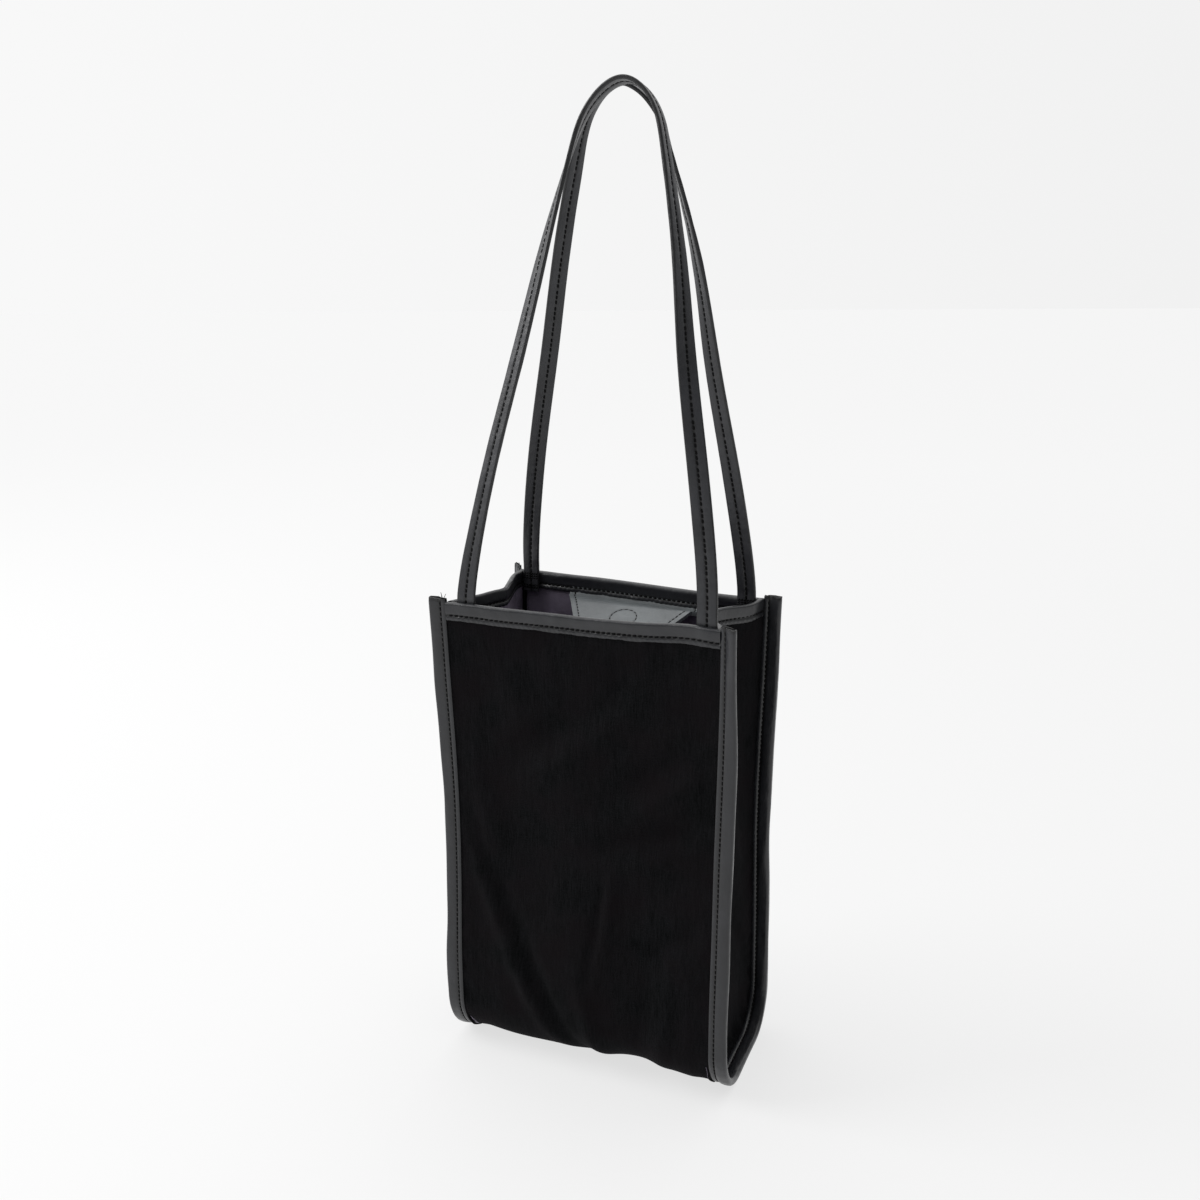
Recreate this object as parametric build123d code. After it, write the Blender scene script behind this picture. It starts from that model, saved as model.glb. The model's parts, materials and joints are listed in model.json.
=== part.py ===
from build123d import *
from math import cos, hypot, radians, sin
import os

# Canvas tote bag, in millimetres. X runs across the front, Y from front to back, Z up from the floor.
# The origin is on the floor, in the middle of the base.

# ---- Overall sizes ----
WIDTH = 176.0  # over the two edge bindings
HEIGHT = 280.0  # floor to the top of the mouth's rims
MOUTH_DEPTH = 96.0  # outside, front to back, at the rims
WAIST_DEPTH = MOUTH_DEPTH - 14.0  # outside, where the front and back draw in
WAIST_HEIGHT = 150.0
WAIST_RADIUS = 900.0
BELLY_DEPTH = MOUTH_DEPTH - 2.0  # outside, where the lower part fills out
BELLY_HEIGHT = 60.0
BELLY_RADIUS = 500.0
BASE_DEPTH = MOUTH_DEPTH - 3.0  # between the corners of the base before they are rounded
BASE_RADIUS = 27.0

# ---- Sheets ----
CANVAS = 0.7
LINING = 0.3
LEATHER = 0.9  # bindings
PLY_GAP = 0.05  # between sheets that lie against each other

# ---- Seams ----
FLANGE = 10.5  # width of the edge bindings, which stand out sideways
BINDING_OVERRUN = 1.5  # how far the edge bindings' cut ends stand above the rims
RIM = 10.5  # height of the rim bindings
SEAM_GAP = 1.0  # between an edge binding and the gusset beside it
GUSSET_FOLD = 13.0  # how much further the gusset draws in at the mouth than at the base
GUSSET_FOLD_BASE = 2.0
SEAM_LAP = 4.0  # gusset cloth that lies against the front and back before it turns in

# ---- Thread ----
STITCH_INSET = 3.0  # from an edge of the leather to its row of stitches
THREAD = 0.8
THREAD_HEIGHT = 0.25
GROOVE = 1.0
GROOVE_DEPTH = 0.35

# ---- Handles ----
STRAP_WIDTH = 10.5
STRAP_THICKNESS = 2.2
STRAP_SPREAD = 136.0  # between the middles of one handle's feet
HANDLE_RISE = 271.0  # from the foot's free length to the top of the loop
HANDLE_GAP = 0.7  # between the two handles where they stand side by side
FOOT_FREE = 3.0  # how far the sewn end stands above the rim
FOOT_TAIL = 2.5  # how far the sewn end reaches below the rim binding
FOOT_GAP = 0.3  # between the sewn end and the loop that swings
FOLD_CLEARANCE = 0.8  # between a handle folded down outside and the rim binding
DRIFT_FRONT = 13.0  # how far the loop's top stands to the right of its feet
DRIFT_BACK = 7.0
DRIFT_POWER = 1.3  # 1 would lean the feet too, 2 would keep most of the lean for the top
TWIST_START = 20.0  # height above the foot where the quarter turn begins
TWIST_END = 280.0  # past the loop's top, where the quarter turn is all but complete
LOOP_STEPS = 44

# ---- Closure ----
TAB_ROOT = 84.0
TAB_SHOULDER = 62.0
TAB_SHOULDER_AT = 22.0
TAB_TIP = 46.0
TAB_LENGTH = 44.0
TAB_TIP_RADIUS = 16.0
TAB_SHOULDER_RADIUS = 40.0
TAB_PLY = 1.2
TAB_SLOPE = 24.0  # below level, in degrees
TAB_EDGE_STITCH = 3.5
TAB_CLEARANCE = 0.35
TAB_HINGE_DROP = 2.0  # below the rim binding's lower edge
TAB_ROOT_GAP = 0.6
MAGNET_RADIUS = 6.0
MAGNET_THICKNESS = 1.5
MAGNET_AT = 19.0  # along the tab
MAGNET_CLEARANCE = 0.05
MAGNET_STITCH_RADIUS = 8.0
CATCH_SIZE = 26.0
CATCH_THICKNESS = 2.4
CATCH_DROP = 40.0  # from the top of the mouth down to the middle of the catch

# ---- Places that follow from the sizes above ----
HALF = WIDTH / 2
FLANGE_IN = HALF - FLANGE
SHEET_EDGE = HALF - LEATHER - 2 * PLY_GAP
WEB_OUT = FLANGE_IN - SEAM_GAP
WEB_IN = WEB_OUT - CANVAS
LAP_IN = WEB_OUT - SEAM_LAP
GUSSET_LINING_OUT = WEB_IN - PLY_GAP
GUSSET_LINING_IN = GUSSET_LINING_OUT - LINING
RIM_BOTTOM = HEIGHT - RIM
CATCH_HEIGHT = HEIGHT - CATCH_DROP
SHEET_TOP = HEIGHT - LEATHER - PLY_GAP

# Depths below the outside of the bag, at which each sheet of the front and back starts.
PANEL_AT = LEATHER + PLY_GAP
INNER_AT = PANEL_AT + CANVAS + PLY_GAP
BINDING_INNER_AT = INNER_AT + CANVAS + PLY_GAP
BINDING_FULL = BINDING_INNER_AT + LEATHER
RIM_INNER_AT = INNER_AT + LINING + PLY_GAP
RIM_FULL = RIM_INNER_AT + LEATHER
BACK_RIM_INNER_AT = RIM_FULL + PLY_GAP
BACK_RIM_FULL = BACK_RIM_INNER_AT + LEATHER
FAR = 2 * WIDTH + 2 * HEIGHT  # larger than the bag


def half_profile(inset, top):
    """Corners of the back half of the side profile, moved in square to each stretch by inset."""
    corners = [
        (0.0, 0.0),
        (BASE_DEPTH / 2, 0.0),
        (BELLY_DEPTH / 2, BELLY_HEIGHT),
        (WAIST_DEPTH / 2, WAIST_HEIGHT),
        (MOUTH_DEPTH / 2, HEIGHT),
    ]
    runs = [(b[0] - a[0], b[1] - a[1]) for a, b in zip(corners, corners[1:])]
    inward = [(-dz / hypot(dy, dz), dy / hypot(dy, dz)) for dy, dz in runs]
    moved = []
    for corner, n, m in zip(corners[1:], inward, inward[1:]):
        share = inset / (1 + n[0] * m[0] + n[1] * m[1])
        moved.append((corner[0] + share * (n[0] + m[0]), corner[1] + share * (n[1] + m[1])))
    rise = top - moved[-1][1]
    moved.append((moved[-1][0] + rise * runs[-1][0] / runs[-1][1], top))
    return moved


def profile_line(inset, top):
    """The side profile from the front's top, round the base, to the back's top."""
    half = half_profile(inset, top)
    points = [(-y, z) for y, z in reversed(half)] + half
    bends = [BASE_RADIUS - inset, BELLY_RADIUS - inset, WAIST_RADIUS + inset]
    return FilletPolyline(*points, radius=bends[::-1] + bends)


def wall_y(inset, z):
    """Distance of the upper part of the back wall from the middle of the bag, at height z."""
    return half_profile(inset, z)[-1][0]


def wall_inward(side):
    """Unit vector square to the upper wall, into the bag: side is -1 at the front, 1 at the back."""
    dy = MOUTH_DEPTH / 2 - WAIST_DEPTH / 2
    dz = HEIGHT - WAIST_HEIGHT
    return Vector(0, -side * dz, dy).normalized()


def sheet(outer, inner, left, right, top):
    """A sheet bent round the side profile, between two depths below the outside."""
    out_line = profile_line(outer, top)
    in_line = profile_line(inner, top)
    outline = [out_line, Line(out_line @ 1, in_line @ 1), in_line, Line(in_line @ 0, out_line @ 0)]
    return extrude(Plane.YZ.offset(left) * make_face(outline), amount=right - left)


def inside(inset):
    """Everything within the side profile, less a skin of thickness inset, across the bag."""
    line = profile_line(inset, HEIGHT)
    region = make_face([line, Line(line @ 1, line @ 0)])
    return extrude(Plane.YZ.offset(-HALF) * region, amount=WIDTH)


def web(outer, inner):
    """An upright sheet on the right, drawn in further the higher it gets: ruled between two bows."""
    reach = MOUTH_DEPTH / 2

    def bow(x, fold):
        """Leaves the front and back square to them, and is drawn in most at the middle."""
        return Spline((x, -reach), (x - fold, 0), (x, reach), tangents=[(0, 1), (0, 1)])

    def section(z, fold):
        out_line = bow(outer, fold)
        in_line = bow(inner, fold)
        ends = [Line(out_line @ t, in_line @ t) for t in (0, 1)]
        return Plane.XY.offset(z) * make_face([out_line, ends[1], in_line, ends[0]])

    low = section(0, GUSSET_FOLD_BASE)
    high = section(HEIGHT, GUSSET_FOLD_BASE + GUSSET_FOLD)
    return loft([low, high], ruled=True)


def span(low, high, left=-FAR, right=FAR, front=-FAR, back=FAR):
    """A block that keeps what lies between two heights, and between the other limits given."""
    block = Box(right - left, back - front, high - low)
    return Pos((left + right) / 2, (front + back) / 2, (low + high) / 2) * block


def mirrored(shape):
    return mirror(shape, about=Plane.YZ)


def keep(name, shape):
    """Write one piece to its own file."""
    export_step(shape, "parts/" + name + ".step")


def pair(name, shape):
    """Write a piece of the right side, and its mirror image on the left."""
    keep(name + "_right", shape)
    keep(name + "_left", mirrored(shape))


# ---- Cloth ----
def body_panel():
    """Front, base and back in one length of canvas, out to the edges of the seam flanges."""
    return sheet(PANEL_AT, PANEL_AT + CANVAS, -SHEET_EDGE, SHEET_EDGE, SHEET_TOP)


def gusset():
    """The right side: a drawn-in web, with its edges turned out along the front, base and back."""
    turned = sheet(INNER_AT, INNER_AT + CANVAS, LAP_IN, SHEET_EDGE, SHEET_TOP)
    middle = web(WEB_OUT, WEB_IN) & inside(INNER_AT) & span(0, SHEET_TOP)
    return middle + turned


def body_lining():
    edge = LAP_IN - PLY_GAP
    return sheet(INNER_AT, INNER_AT + LINING, -edge, edge, SHEET_TOP)


def gusset_lining():
    skin = web(GUSSET_LINING_OUT, GUSSET_LINING_IN)
    return skin & inside(BINDING_INNER_AT) & span(0, SHEET_TOP)


# ---- Bindings ----
def edge_binding():
    """One strip of leather folded over the right seam, from the front's top round to the back's."""
    top = HEIGHT + BINDING_OVERRUN
    strip = sheet(0, BINDING_FULL, FLANGE_IN, HALF, top)
    strip -= sheet(LEATHER, BINDING_INNER_AT, FLANGE_IN - 1, HALF - LEATHER, top + 1)
    left = FLANGE_IN + STITCH_INSET - GROOVE / 2
    strip -= sheet(-1, GROOVE_DEPTH, left, left + GROOVE, top + 1)
    strip -= sheet(BINDING_FULL - GROOVE_DEPTH, BINDING_FULL + 1, left, left + GROOVE, top + 1)
    return strip


def edge_thread():
    """The row of stitches through the right edge binding, seen on both faces."""
    left = FLANGE_IN + STITCH_INSET - THREAD / 2
    top = HEIGHT
    outer = sheet(PLY_GAP, PLY_GAP + THREAD_HEIGHT, left, left + THREAD, top)
    deep = BINDING_FULL - PLY_GAP
    inner = sheet(deep - THREAD_HEIGHT, deep, left, left + THREAD, top)
    return Compound(children=[outer, inner])


def groove_span(width, side=0):
    """The height band of the rim's stitches, on the front (-1), the back (1) or both (0)."""
    middle = RIM_BOTTOM + STITCH_INSET
    front = 0 if side > 0 else -FAR
    back = 0 if side < 0 else FAR
    return span(middle - width / 2, middle + width / 2, front=front, back=back)


def long_rim(side, inner_at, full):
    """The binding of the front or back edge of the mouth."""
    edge = FLANGE_IN - 2 * PLY_GAP
    inner_edge = LAP_IN - 4 * PLY_GAP
    rim = sheet(0, full, -edge, edge, HEIGHT)
    slot = sheet(LEATHER, inner_at, -FAR, FAR, SHEET_TOP + PLY_GAP)
    for left, right in ((-FAR, -inner_edge), (inner_edge, FAR)):
        slot += sheet(LEATHER, full + 1, left, right, SHEET_TOP + PLY_GAP)
    rim -= slot
    grooves = sheet(-1, GROOVE_DEPTH, -FAR, FAR, HEIGHT + 1)
    grooves += sheet(full - GROOVE_DEPTH, full + 1, -FAR, FAR, HEIGHT + 1)
    rim -= grooves & groove_span(GROOVE)
    front = -FAR if side < 0 else 0
    return rim & span(RIM_BOTTOM, HEIGHT, front=front, back=front + FAR)


def long_rim_thread(side, full):
    edge = FLANGE_IN - THREAD
    inner_edge = LAP_IN - THREAD
    outer = sheet(PLY_GAP, PLY_GAP + THREAD_HEIGHT, -edge, edge, HEIGHT)
    deep = full - PLY_GAP
    inner = sheet(deep - THREAD_HEIGHT, deep, -inner_edge, inner_edge, HEIGHT)
    rows = [row & groove_span(THREAD, side) for row in (outer, inner)]
    return Compound(children=rows)


RIM_OUT = WEB_OUT + PLY_GAP + LEATHER
RIM_SLOT_IN = GUSSET_LINING_IN - PLY_GAP
RIM_IN = RIM_SLOT_IN - LEATHER


def side_rim():
    """The binding of the right gusset's edge of the mouth, drawn in as the gusset is."""
    rim = web(RIM_OUT, RIM_IN) & span(RIM_BOTTOM, HEIGHT)
    rim -= web(WEB_OUT + PLY_GAP, RIM_SLOT_IN) & span(0, SHEET_TOP + PLY_GAP)
    grooves = [web(RIM_OUT + 1, RIM_OUT - GROOVE_DEPTH), web(RIM_IN + GROOVE_DEPTH, RIM_IN - 1)]
    for cut in grooves:
        rim -= cut & groove_span(GROOVE)
    return rim & inside(BACK_RIM_FULL + 2 * PLY_GAP)


def side_rim_thread():
    outer = web(RIM_OUT - PLY_GAP, RIM_OUT - PLY_GAP - THREAD_HEIGHT)
    inner = web(RIM_IN + PLY_GAP + THREAD_HEIGHT, RIM_IN + PLY_GAP)
    room = inside(BACK_RIM_FULL + THREAD)
    rows = [row & groove_span(THREAD) & room for row in (outer, inner)]
    return Compound(children=rows)


# ---- Handles ----
def foot_at(side):
    """Depth of a strap's sewn end below the outside: it lies on the rim binding's inner face."""
    return (BACK_RIM_FULL if side > 0 else RIM_FULL) + PLY_GAP


def handle_foot(side, x):
    """The end of a strap, sewn flat to the inner face of the rim binding."""
    depth = foot_at(side)
    top = HEIGHT + FOOT_FREE
    left = x - STRAP_WIDTH / 2
    strap = sheet(depth, depth + STRAP_THICKNESS, left, left + STRAP_WIDTH, top)
    front = 0 if side > 0 else -FAR
    return strap & span(RIM_BOTTOM - FOOT_TAIL, top, front=front, back=front + FAR)


def foot_threads():
    """Two bars of stitches across each sewn end."""
    bars = []
    margin = 1.5
    for side in (-1, 1):
        face = foot_at(side) + STRAP_THICKNESS + PLY_GAP
        for x in (-STRAP_SPREAD / 2, STRAP_SPREAD / 2):
            left = x - STRAP_WIDTH / 2 + margin
            row = sheet(face, face + THREAD_HEIGHT, left, left + STRAP_WIDTH - 2 * margin, HEIGHT)
            front = 0 if side > 0 else -FAR
            for z in (RIM_BOTTOM + margin, HEIGHT - margin):
                bars.append(row & span(z, z + THREAD, front=front, back=front + FAR))
    return Compound(children=bars)


def loop_line():
    """The middle of a handle's loop, flat: x across, y up along the leaning plane of the loop."""
    foot = STRAP_SPREAD / 2
    rise = HANDLE_RISE
    shares = [(1, 0), (0.96, 0.115), (0.84, 0.31), (0.69, 0.5), (0.55, 0.69), (0.38, 0.875), (0.23, 0.965)]
    right = [(x * foot, y * rise) for x, y in shares]
    left = [(-x, y) for x, y in reversed(right)]
    return Spline(*right, (0, rise), *left, tangents=[(-0.03, 1), (-0.03, -1)])


def eased(t):
    """Rises from 0 to 1 with no sudden start or stop."""
    t = min(max(t, 0.0), 1.0)
    return t * t * (3 - 2 * t)


def loop_frames(side, drift):
    """Places along a handle: position, direction, the strap's width direction and its face."""
    root_y = side * wall_y(foot_at(side) + STRAP_THICKNESS / 2, HEIGHT + FOOT_FREE)
    root = Vector(0, root_y, HEIGHT + FOOT_FREE + FOOT_GAP)
    top_y = side * (STRAP_WIDTH + HANDLE_GAP) / 2
    climb = HANDLE_RISE**2 - (top_y - root_y) ** 2
    up = Vector(0, (top_y - root_y) / HANDLE_RISE, climb**0.5 / HANDLE_RISE)
    face = Vector(0, side * up.Z, -side * up.Y)
    line = loop_line()
    for step in range(LOOP_STEPS + 1):
        flat = line @ (step / LOOP_STEPS)
        run = line % (step / LOOP_STEPS)
        height = max(flat.Y, 0) / HANDLE_RISE
        lean = DRIFT_POWER * drift * height ** (DRIFT_POWER - 1) * run.Y / HANDLE_RISE
        place = root + up * flat.Y + Vector(flat.X + drift * height**DRIFT_POWER, 0, 0)
        along = (up * run.Y + Vector(run.X + lean, 0, 0)).normalized()
        outward = along.cross(face) * -side
        turn = radians(90) * eased((flat.Y - TWIST_START) / (TWIST_END - TWIST_START))
        normal = (face * cos(turn) + outward * sin(turn)).normalized()
        yield place, along, normal.cross(along).normalized(), normal


def loop(side, drift, width, thickness, offset):
    """A flat strip along a handle, its middle offset from the strap's middle towards one face."""
    sections = []
    for place, along, across, normal in loop_frames(side, drift):
        plane = Plane(origin=place + normal * offset, x_dir=across, z_dir=along)
        sections.append(plane * Rectangle(width, thickness))
    top = LOOP_STEPS // 2
    right_leg = loft(sections[: top + 1], ruled=True)
    left_leg = loft(sections[top:], ruled=True)
    return right_leg + left_leg


def loop_threads(side, drift):
    """The row of stitches down the middle of each face of a handle."""
    height = STRAP_THICKNESS / 2 + PLY_GAP + THREAD_HEIGHT / 2
    rows = [loop(side, drift, THREAD, THREAD_HEIGHT, offset) for offset in (height, -height)]
    return Compound(children=rows)


# ---- Closure ----
TAB_HINGE_Y = wall_y(BACK_RIM_FULL, RIM_BOTTOM) - TAB_PLY - PLY_GAP - TAB_CLEARANCE
TAB_HINGE_Z = RIM_BOTTOM - TAB_HINGE_DROP
TAB_PLANE = Plane(
    origin=(0, TAB_HINGE_Y, TAB_HINGE_Z),
    x_dir=(1, 0, 0),
    z_dir=(0, -sin(radians(TAB_SLOPE)), cos(radians(TAB_SLOPE))),
)


def tab_outline():
    """The tab, flat, with its root at y = 0 and its tip towards -y."""
    corners = [
        (-TAB_ROOT / 2, -TAB_ROOT_GAP),
        (TAB_ROOT / 2, -TAB_ROOT_GAP),
        (TAB_SHOULDER / 2, -TAB_SHOULDER_AT),
        (TAB_TIP / 2, -TAB_LENGTH),
        (-TAB_TIP / 2, -TAB_LENGTH),
        (-TAB_SHOULDER / 2, -TAB_SHOULDER_AT),
    ]
    face = make_face(Polyline(*corners, close=True))
    across = face.vertices().sort_by(Axis.Y)
    face = fillet(across[:2], TAB_TIP_RADIUS)
    middle = [v for v in face.vertices() if abs(v.Y + TAB_SHOULDER_AT) < 1e-3]
    return fillet(middle, TAB_SHOULDER_RADIUS)


def tab_ply(low):
    """One ply of the tab, with its half of the magnet's pocket."""
    pocket_low = -MAGNET_THICKNESS / 2 - MAGNET_CLEARANCE + PLY_GAP / 2
    pocket = Cylinder(
        MAGNET_RADIUS + MAGNET_CLEARANCE,
        MAGNET_THICKNESS + 2 * MAGNET_CLEARANCE,
        align=(Align.CENTER, Align.CENTER, Align.MIN),
    )
    ply = Pos(0, 0, low) * extrude(tab_outline(), amount=TAB_PLY)
    return TAB_PLANE * (ply - Pos(0, -MAGNET_AT, pocket_low) * pocket)


def tab_magnet():
    disc = Cylinder(MAGNET_RADIUS, MAGNET_THICKNESS)
    return TAB_PLANE * (Pos(0, -MAGNET_AT, PLY_GAP / 2) * disc)


def tab_threads():
    """The row of stitches round the tab's free edge, and the ring that holds the magnet."""
    outer = offset(tab_outline(), -TAB_EDGE_STITCH + THREAD / 2, kind=Kind.INTERSECTION)
    inner = offset(tab_outline(), -TAB_EDGE_STITCH - THREAD / 2, kind=Kind.INTERSECTION)
    root_cut = Pos(0, -TAB_ROOT_GAP) * Rectangle(2 * TAB_ROOT, 4 * TAB_EDGE_STITCH)
    ring = Circle(MAGNET_STITCH_RADIUS + THREAD / 2) - Circle(MAGNET_STITCH_RADIUS - THREAD / 2)
    rows = [outer - inner - root_cut, Pos(0, -MAGNET_AT) * ring]
    face = TAB_PLY + 2 * PLY_GAP
    solids = [TAB_PLANE * (Pos(0, 0, face) * extrude(row, amount=THREAD_HEIGHT)) for row in rows]
    return Compound(children=solids)


def tab_root():
    """The tab's fixed edge, sewn between the lining and the back rim binding."""
    edge = TAB_ROOT / 2
    strip = sheet(RIM_INNER_AT, RIM_FULL, -edge, edge, SHEET_TOP)
    return strip & span(TAB_HINGE_Z + TAB_ROOT_GAP, SHEET_TOP, front=0)


def catch_plane():
    """On the lining of the front wall, facing into the bag."""
    place = (0, -wall_y(RIM_INNER_AT, CATCH_HEIGHT), CATCH_HEIGHT)
    return Plane(origin=place, x_dir=(1, 0, 0), z_dir=wall_inward(-1))


def catch_magnet():
    disc = Cylinder(MAGNET_RADIUS, MAGNET_THICKNESS, align=(Align.CENTER, Align.CENTER, Align.MIN))
    return catch_plane() * (Pos(0, 0, MAGNET_CLEARANCE) * disc)


def catch_patch():
    """The leather patch that holds the second magnet against the lining."""
    base = (Align.CENTER, Align.CENTER, Align.MIN)
    block = Box(CATCH_SIZE, CATCH_SIZE, CATCH_THICKNESS, align=base)
    hollow = MAGNET_THICKNESS + 2 * MAGNET_CLEARANCE
    pocket = Cylinder(MAGNET_RADIUS + MAGNET_CLEARANCE, hollow, align=base)
    return catch_plane() * (block - pocket)


# ---- Build ----
os.makedirs("parts", exist_ok=True)

keep("body_panel", body_panel())
pair("gusset", gusset())
keep("body_lining", body_lining())
pair("gusset_lining", gusset_lining())

pair("edge_binding", edge_binding())
pair("edge_stitching", edge_thread())
keep("rim_binding_front", long_rim(-1, RIM_INNER_AT, RIM_FULL))
keep("rim_binding_back", long_rim(1, BACK_RIM_INNER_AT, BACK_RIM_FULL))
pair("rim_binding", side_rim())
keep("rim_stitching_front", long_rim_thread(-1, RIM_FULL))
keep("rim_stitching_back", long_rim_thread(1, BACK_RIM_FULL))
pair("rim_stitching", side_rim_thread())

for name, side, drift in (("front", -1, DRIFT_FRONT), ("back", 1, DRIFT_BACK)):
    keep("handle_" + name, loop(side, drift, STRAP_WIDTH, STRAP_THICKNESS, 0))
    keep("handle_stitching_" + name, loop_threads(side, drift))
    keep("handle_foot_" + name + "_left", handle_foot(side, -STRAP_SPREAD / 2))
    keep("handle_foot_" + name + "_right", handle_foot(side, STRAP_SPREAD / 2))
keep("handle_foot_stitching", foot_threads())

keep("closure_tab_under", tab_ply(-TAB_PLY))
keep("closure_tab_top", tab_ply(PLY_GAP))
keep("closure_tab_magnet", tab_magnet())
keep("closure_tab_stitching", tab_threads())
keep("closure_tab_root", tab_root())
keep("catch_magnet", catch_magnet())
keep("catch_patch", catch_patch())

# The lines that the pieces swing on, for the joints.
for name, side in (("front", -1), ("back", 1)):
    middle = foot_at(side) + STRAP_THICKNESS / 2
    hinge = (middle - STRAP_THICKNESS / 2 - FOLD_CLEARANCE) / 2
    y = side * wall_y(hinge, HEIGHT + FOOT_FREE)
    print("handle hinge, " + name + ": y", round(y, 4), "z", HEIGHT + FOOT_FREE / 3)
print("tab hinge: y", round(TAB_HINGE_Y, 4), "z", TAB_HINGE_Z)
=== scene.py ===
import json
import math
import bpy
import bmesh
import numpy as np
from mathutils import Matrix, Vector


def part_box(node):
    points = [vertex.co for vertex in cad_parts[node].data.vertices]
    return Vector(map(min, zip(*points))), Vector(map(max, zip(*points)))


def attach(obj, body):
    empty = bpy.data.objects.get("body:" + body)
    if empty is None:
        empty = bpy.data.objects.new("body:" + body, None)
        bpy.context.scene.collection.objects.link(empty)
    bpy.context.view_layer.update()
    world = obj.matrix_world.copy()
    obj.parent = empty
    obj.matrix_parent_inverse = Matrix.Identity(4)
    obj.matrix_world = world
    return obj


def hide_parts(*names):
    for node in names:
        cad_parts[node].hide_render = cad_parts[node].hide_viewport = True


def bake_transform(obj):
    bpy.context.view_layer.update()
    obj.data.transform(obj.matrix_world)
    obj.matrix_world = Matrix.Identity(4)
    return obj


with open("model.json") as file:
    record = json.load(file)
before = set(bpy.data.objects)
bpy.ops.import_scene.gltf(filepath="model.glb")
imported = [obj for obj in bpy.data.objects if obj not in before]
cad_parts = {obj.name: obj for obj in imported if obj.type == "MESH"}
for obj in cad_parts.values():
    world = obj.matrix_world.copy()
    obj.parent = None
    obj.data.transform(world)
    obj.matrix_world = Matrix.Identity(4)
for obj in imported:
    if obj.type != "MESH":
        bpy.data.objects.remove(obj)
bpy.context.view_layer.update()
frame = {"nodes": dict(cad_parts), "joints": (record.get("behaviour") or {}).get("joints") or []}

# All shapes are worked out in millimetres and written to their meshes in metres.
MM = 0.001
SEED = 7


def box_mm(node):
    """The lowest and highest corners of a CAD node, in millimetres."""
    low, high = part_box(node)
    return np.array(low) / MM, np.array(high) / MM


# ---- Sizes read from the frame ----
BINDING_LOW, BINDING_HIGH = box_mm("edge_binding_right")
RIM_LOW, RIM_HIGH = box_mm("rim_binding_front")
_, PANEL_HIGH = box_mm("body_panel")
FOOT_LOW, FOOT_HIGH = box_mm("handle_foot_front_right")
HALF = BINDING_HIGH[0]
FLANGE_IN = BINDING_LOW[0]
FLANGE = HALF - FLANGE_IN
BINDING_TOP = BINDING_HIGH[2]
RIM_TOP = RIM_HIGH[2]
RIM_BOTTOM = RIM_LOW[2]
RIM = RIM_TOP - RIM_BOTTOM
MOUTH = -RIM_LOW[1]
PANEL_EDGE = PANEL_HIGH[0]
PANEL_TOP = PANEL_HIGH[2]
STRAP_WIDTH = FOOT_HIGH[0] - FOOT_LOW[0]
STRAP_FOOT = (FOOT_HIGH[0] + FOOT_LOW[0]) / 2
CATCH_LOW, CATCH_HIGH = box_mm("catch_patch")
CATCH_AT = BINDING_TOP - (CATCH_LOW[2] + CATCH_HIGH[2]) / 2

# ---- The rest of the bag's own sizes ----
# Half depths of the side profile, their heights, and the radii that round it.
WAIST, WAIST_HEIGHT, WAIST_RADIUS = 41.0, 150.0, 900.0
BELLY, BELLY_HEIGHT, BELLY_RADIUS = 47.0, 60.0, 500.0
BASE, BASE_RADIUS, BASE_RADIUS_FRONT = 46.5, 27.0, 33.0
WALL_FLARE = (MOUTH - WAIST) / (RIM_TOP - WAIST_HEIGHT)
LEATHER = 0.9
CANVAS = 0.7
LINING = 0.25
PANEL_AT = 0.95  # below the outside of the bag: the canvas of the front and back
INNER_AT = 1.75  # the sheet inside that
BINDING_THICK = 3.35
RIM_THICK = 2.95
BACK_RIM_THICK = 3.9
SIDE_RIM_THICK = RIM_THICK - 0.35
WEB_AT = FLANGE_IN - 1.3
FOLD_RIGHT = 16.5  # how far a gusset draws in at the mouth
FOLD_LEFT = 10.0
STITCH_PITCH = 3.0
STITCH_INSET = 3.0
CATCH_CLEAR = 21.0  # the walls keep their CAD shape this far round the catch
FOLD_DEPTH = 2.1  # times the heights in the lists of folds
STRAP_THICK = 2.2
HANDLE_RISE = 271.0
HANDLE_GAP = 0.7
STRAP_STEP = 0.9  # between the sections that a strap is built from
DRIFT = {"front": 13.0, "back": 7.0}
DRIFT_POWER = 1.3
# Half the loop, from its foot: across as a share of the foot's place, up as a share of the rise.
LOOP_SHAPE = [(1, 0), (0.96, 0.115), (0.84, 0.31), (0.69, 0.5), (0.55, 0.69), (0.38, 0.875), (0.23, 0.965)]
# Turn of a strap's face about its length, in degrees, by height above its foot.
TURN = {
    ("front", -1): [(0, 0), (28, 14), (60, 20), (135, 28), (160, 32), (190, 42), (225, 62), (268, 90)],
    ("front", 1): [(0, 0), (60, 5), (100, 22), (135, 42), (160, 58), (190, 73), (225, 84), (268, 90)],
    ("back", -1): [(0, 0), (30, 16), (60, 27), (132, 42), (186, 51), (225, 62), (245, 77), (268, 90)],
    ("back", 1): [(0, 0), (60, 5), (132, 24), (160, 38), (186, 52), (228, 68), (268, 90)],
}


# ---- Lines ----
def even(line, step):
    """The same line with its points evenly spaced, about step apart."""
    along = np.concatenate([[0], np.cumsum(np.linalg.norm(np.diff(line, axis=0), axis=1))])
    at = np.linspace(0, along[-1], int(along[-1] / step) + 2)
    return np.stack([np.interp(at, along, line[:, k]) for k in range(line.shape[1])], axis=1)


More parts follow.
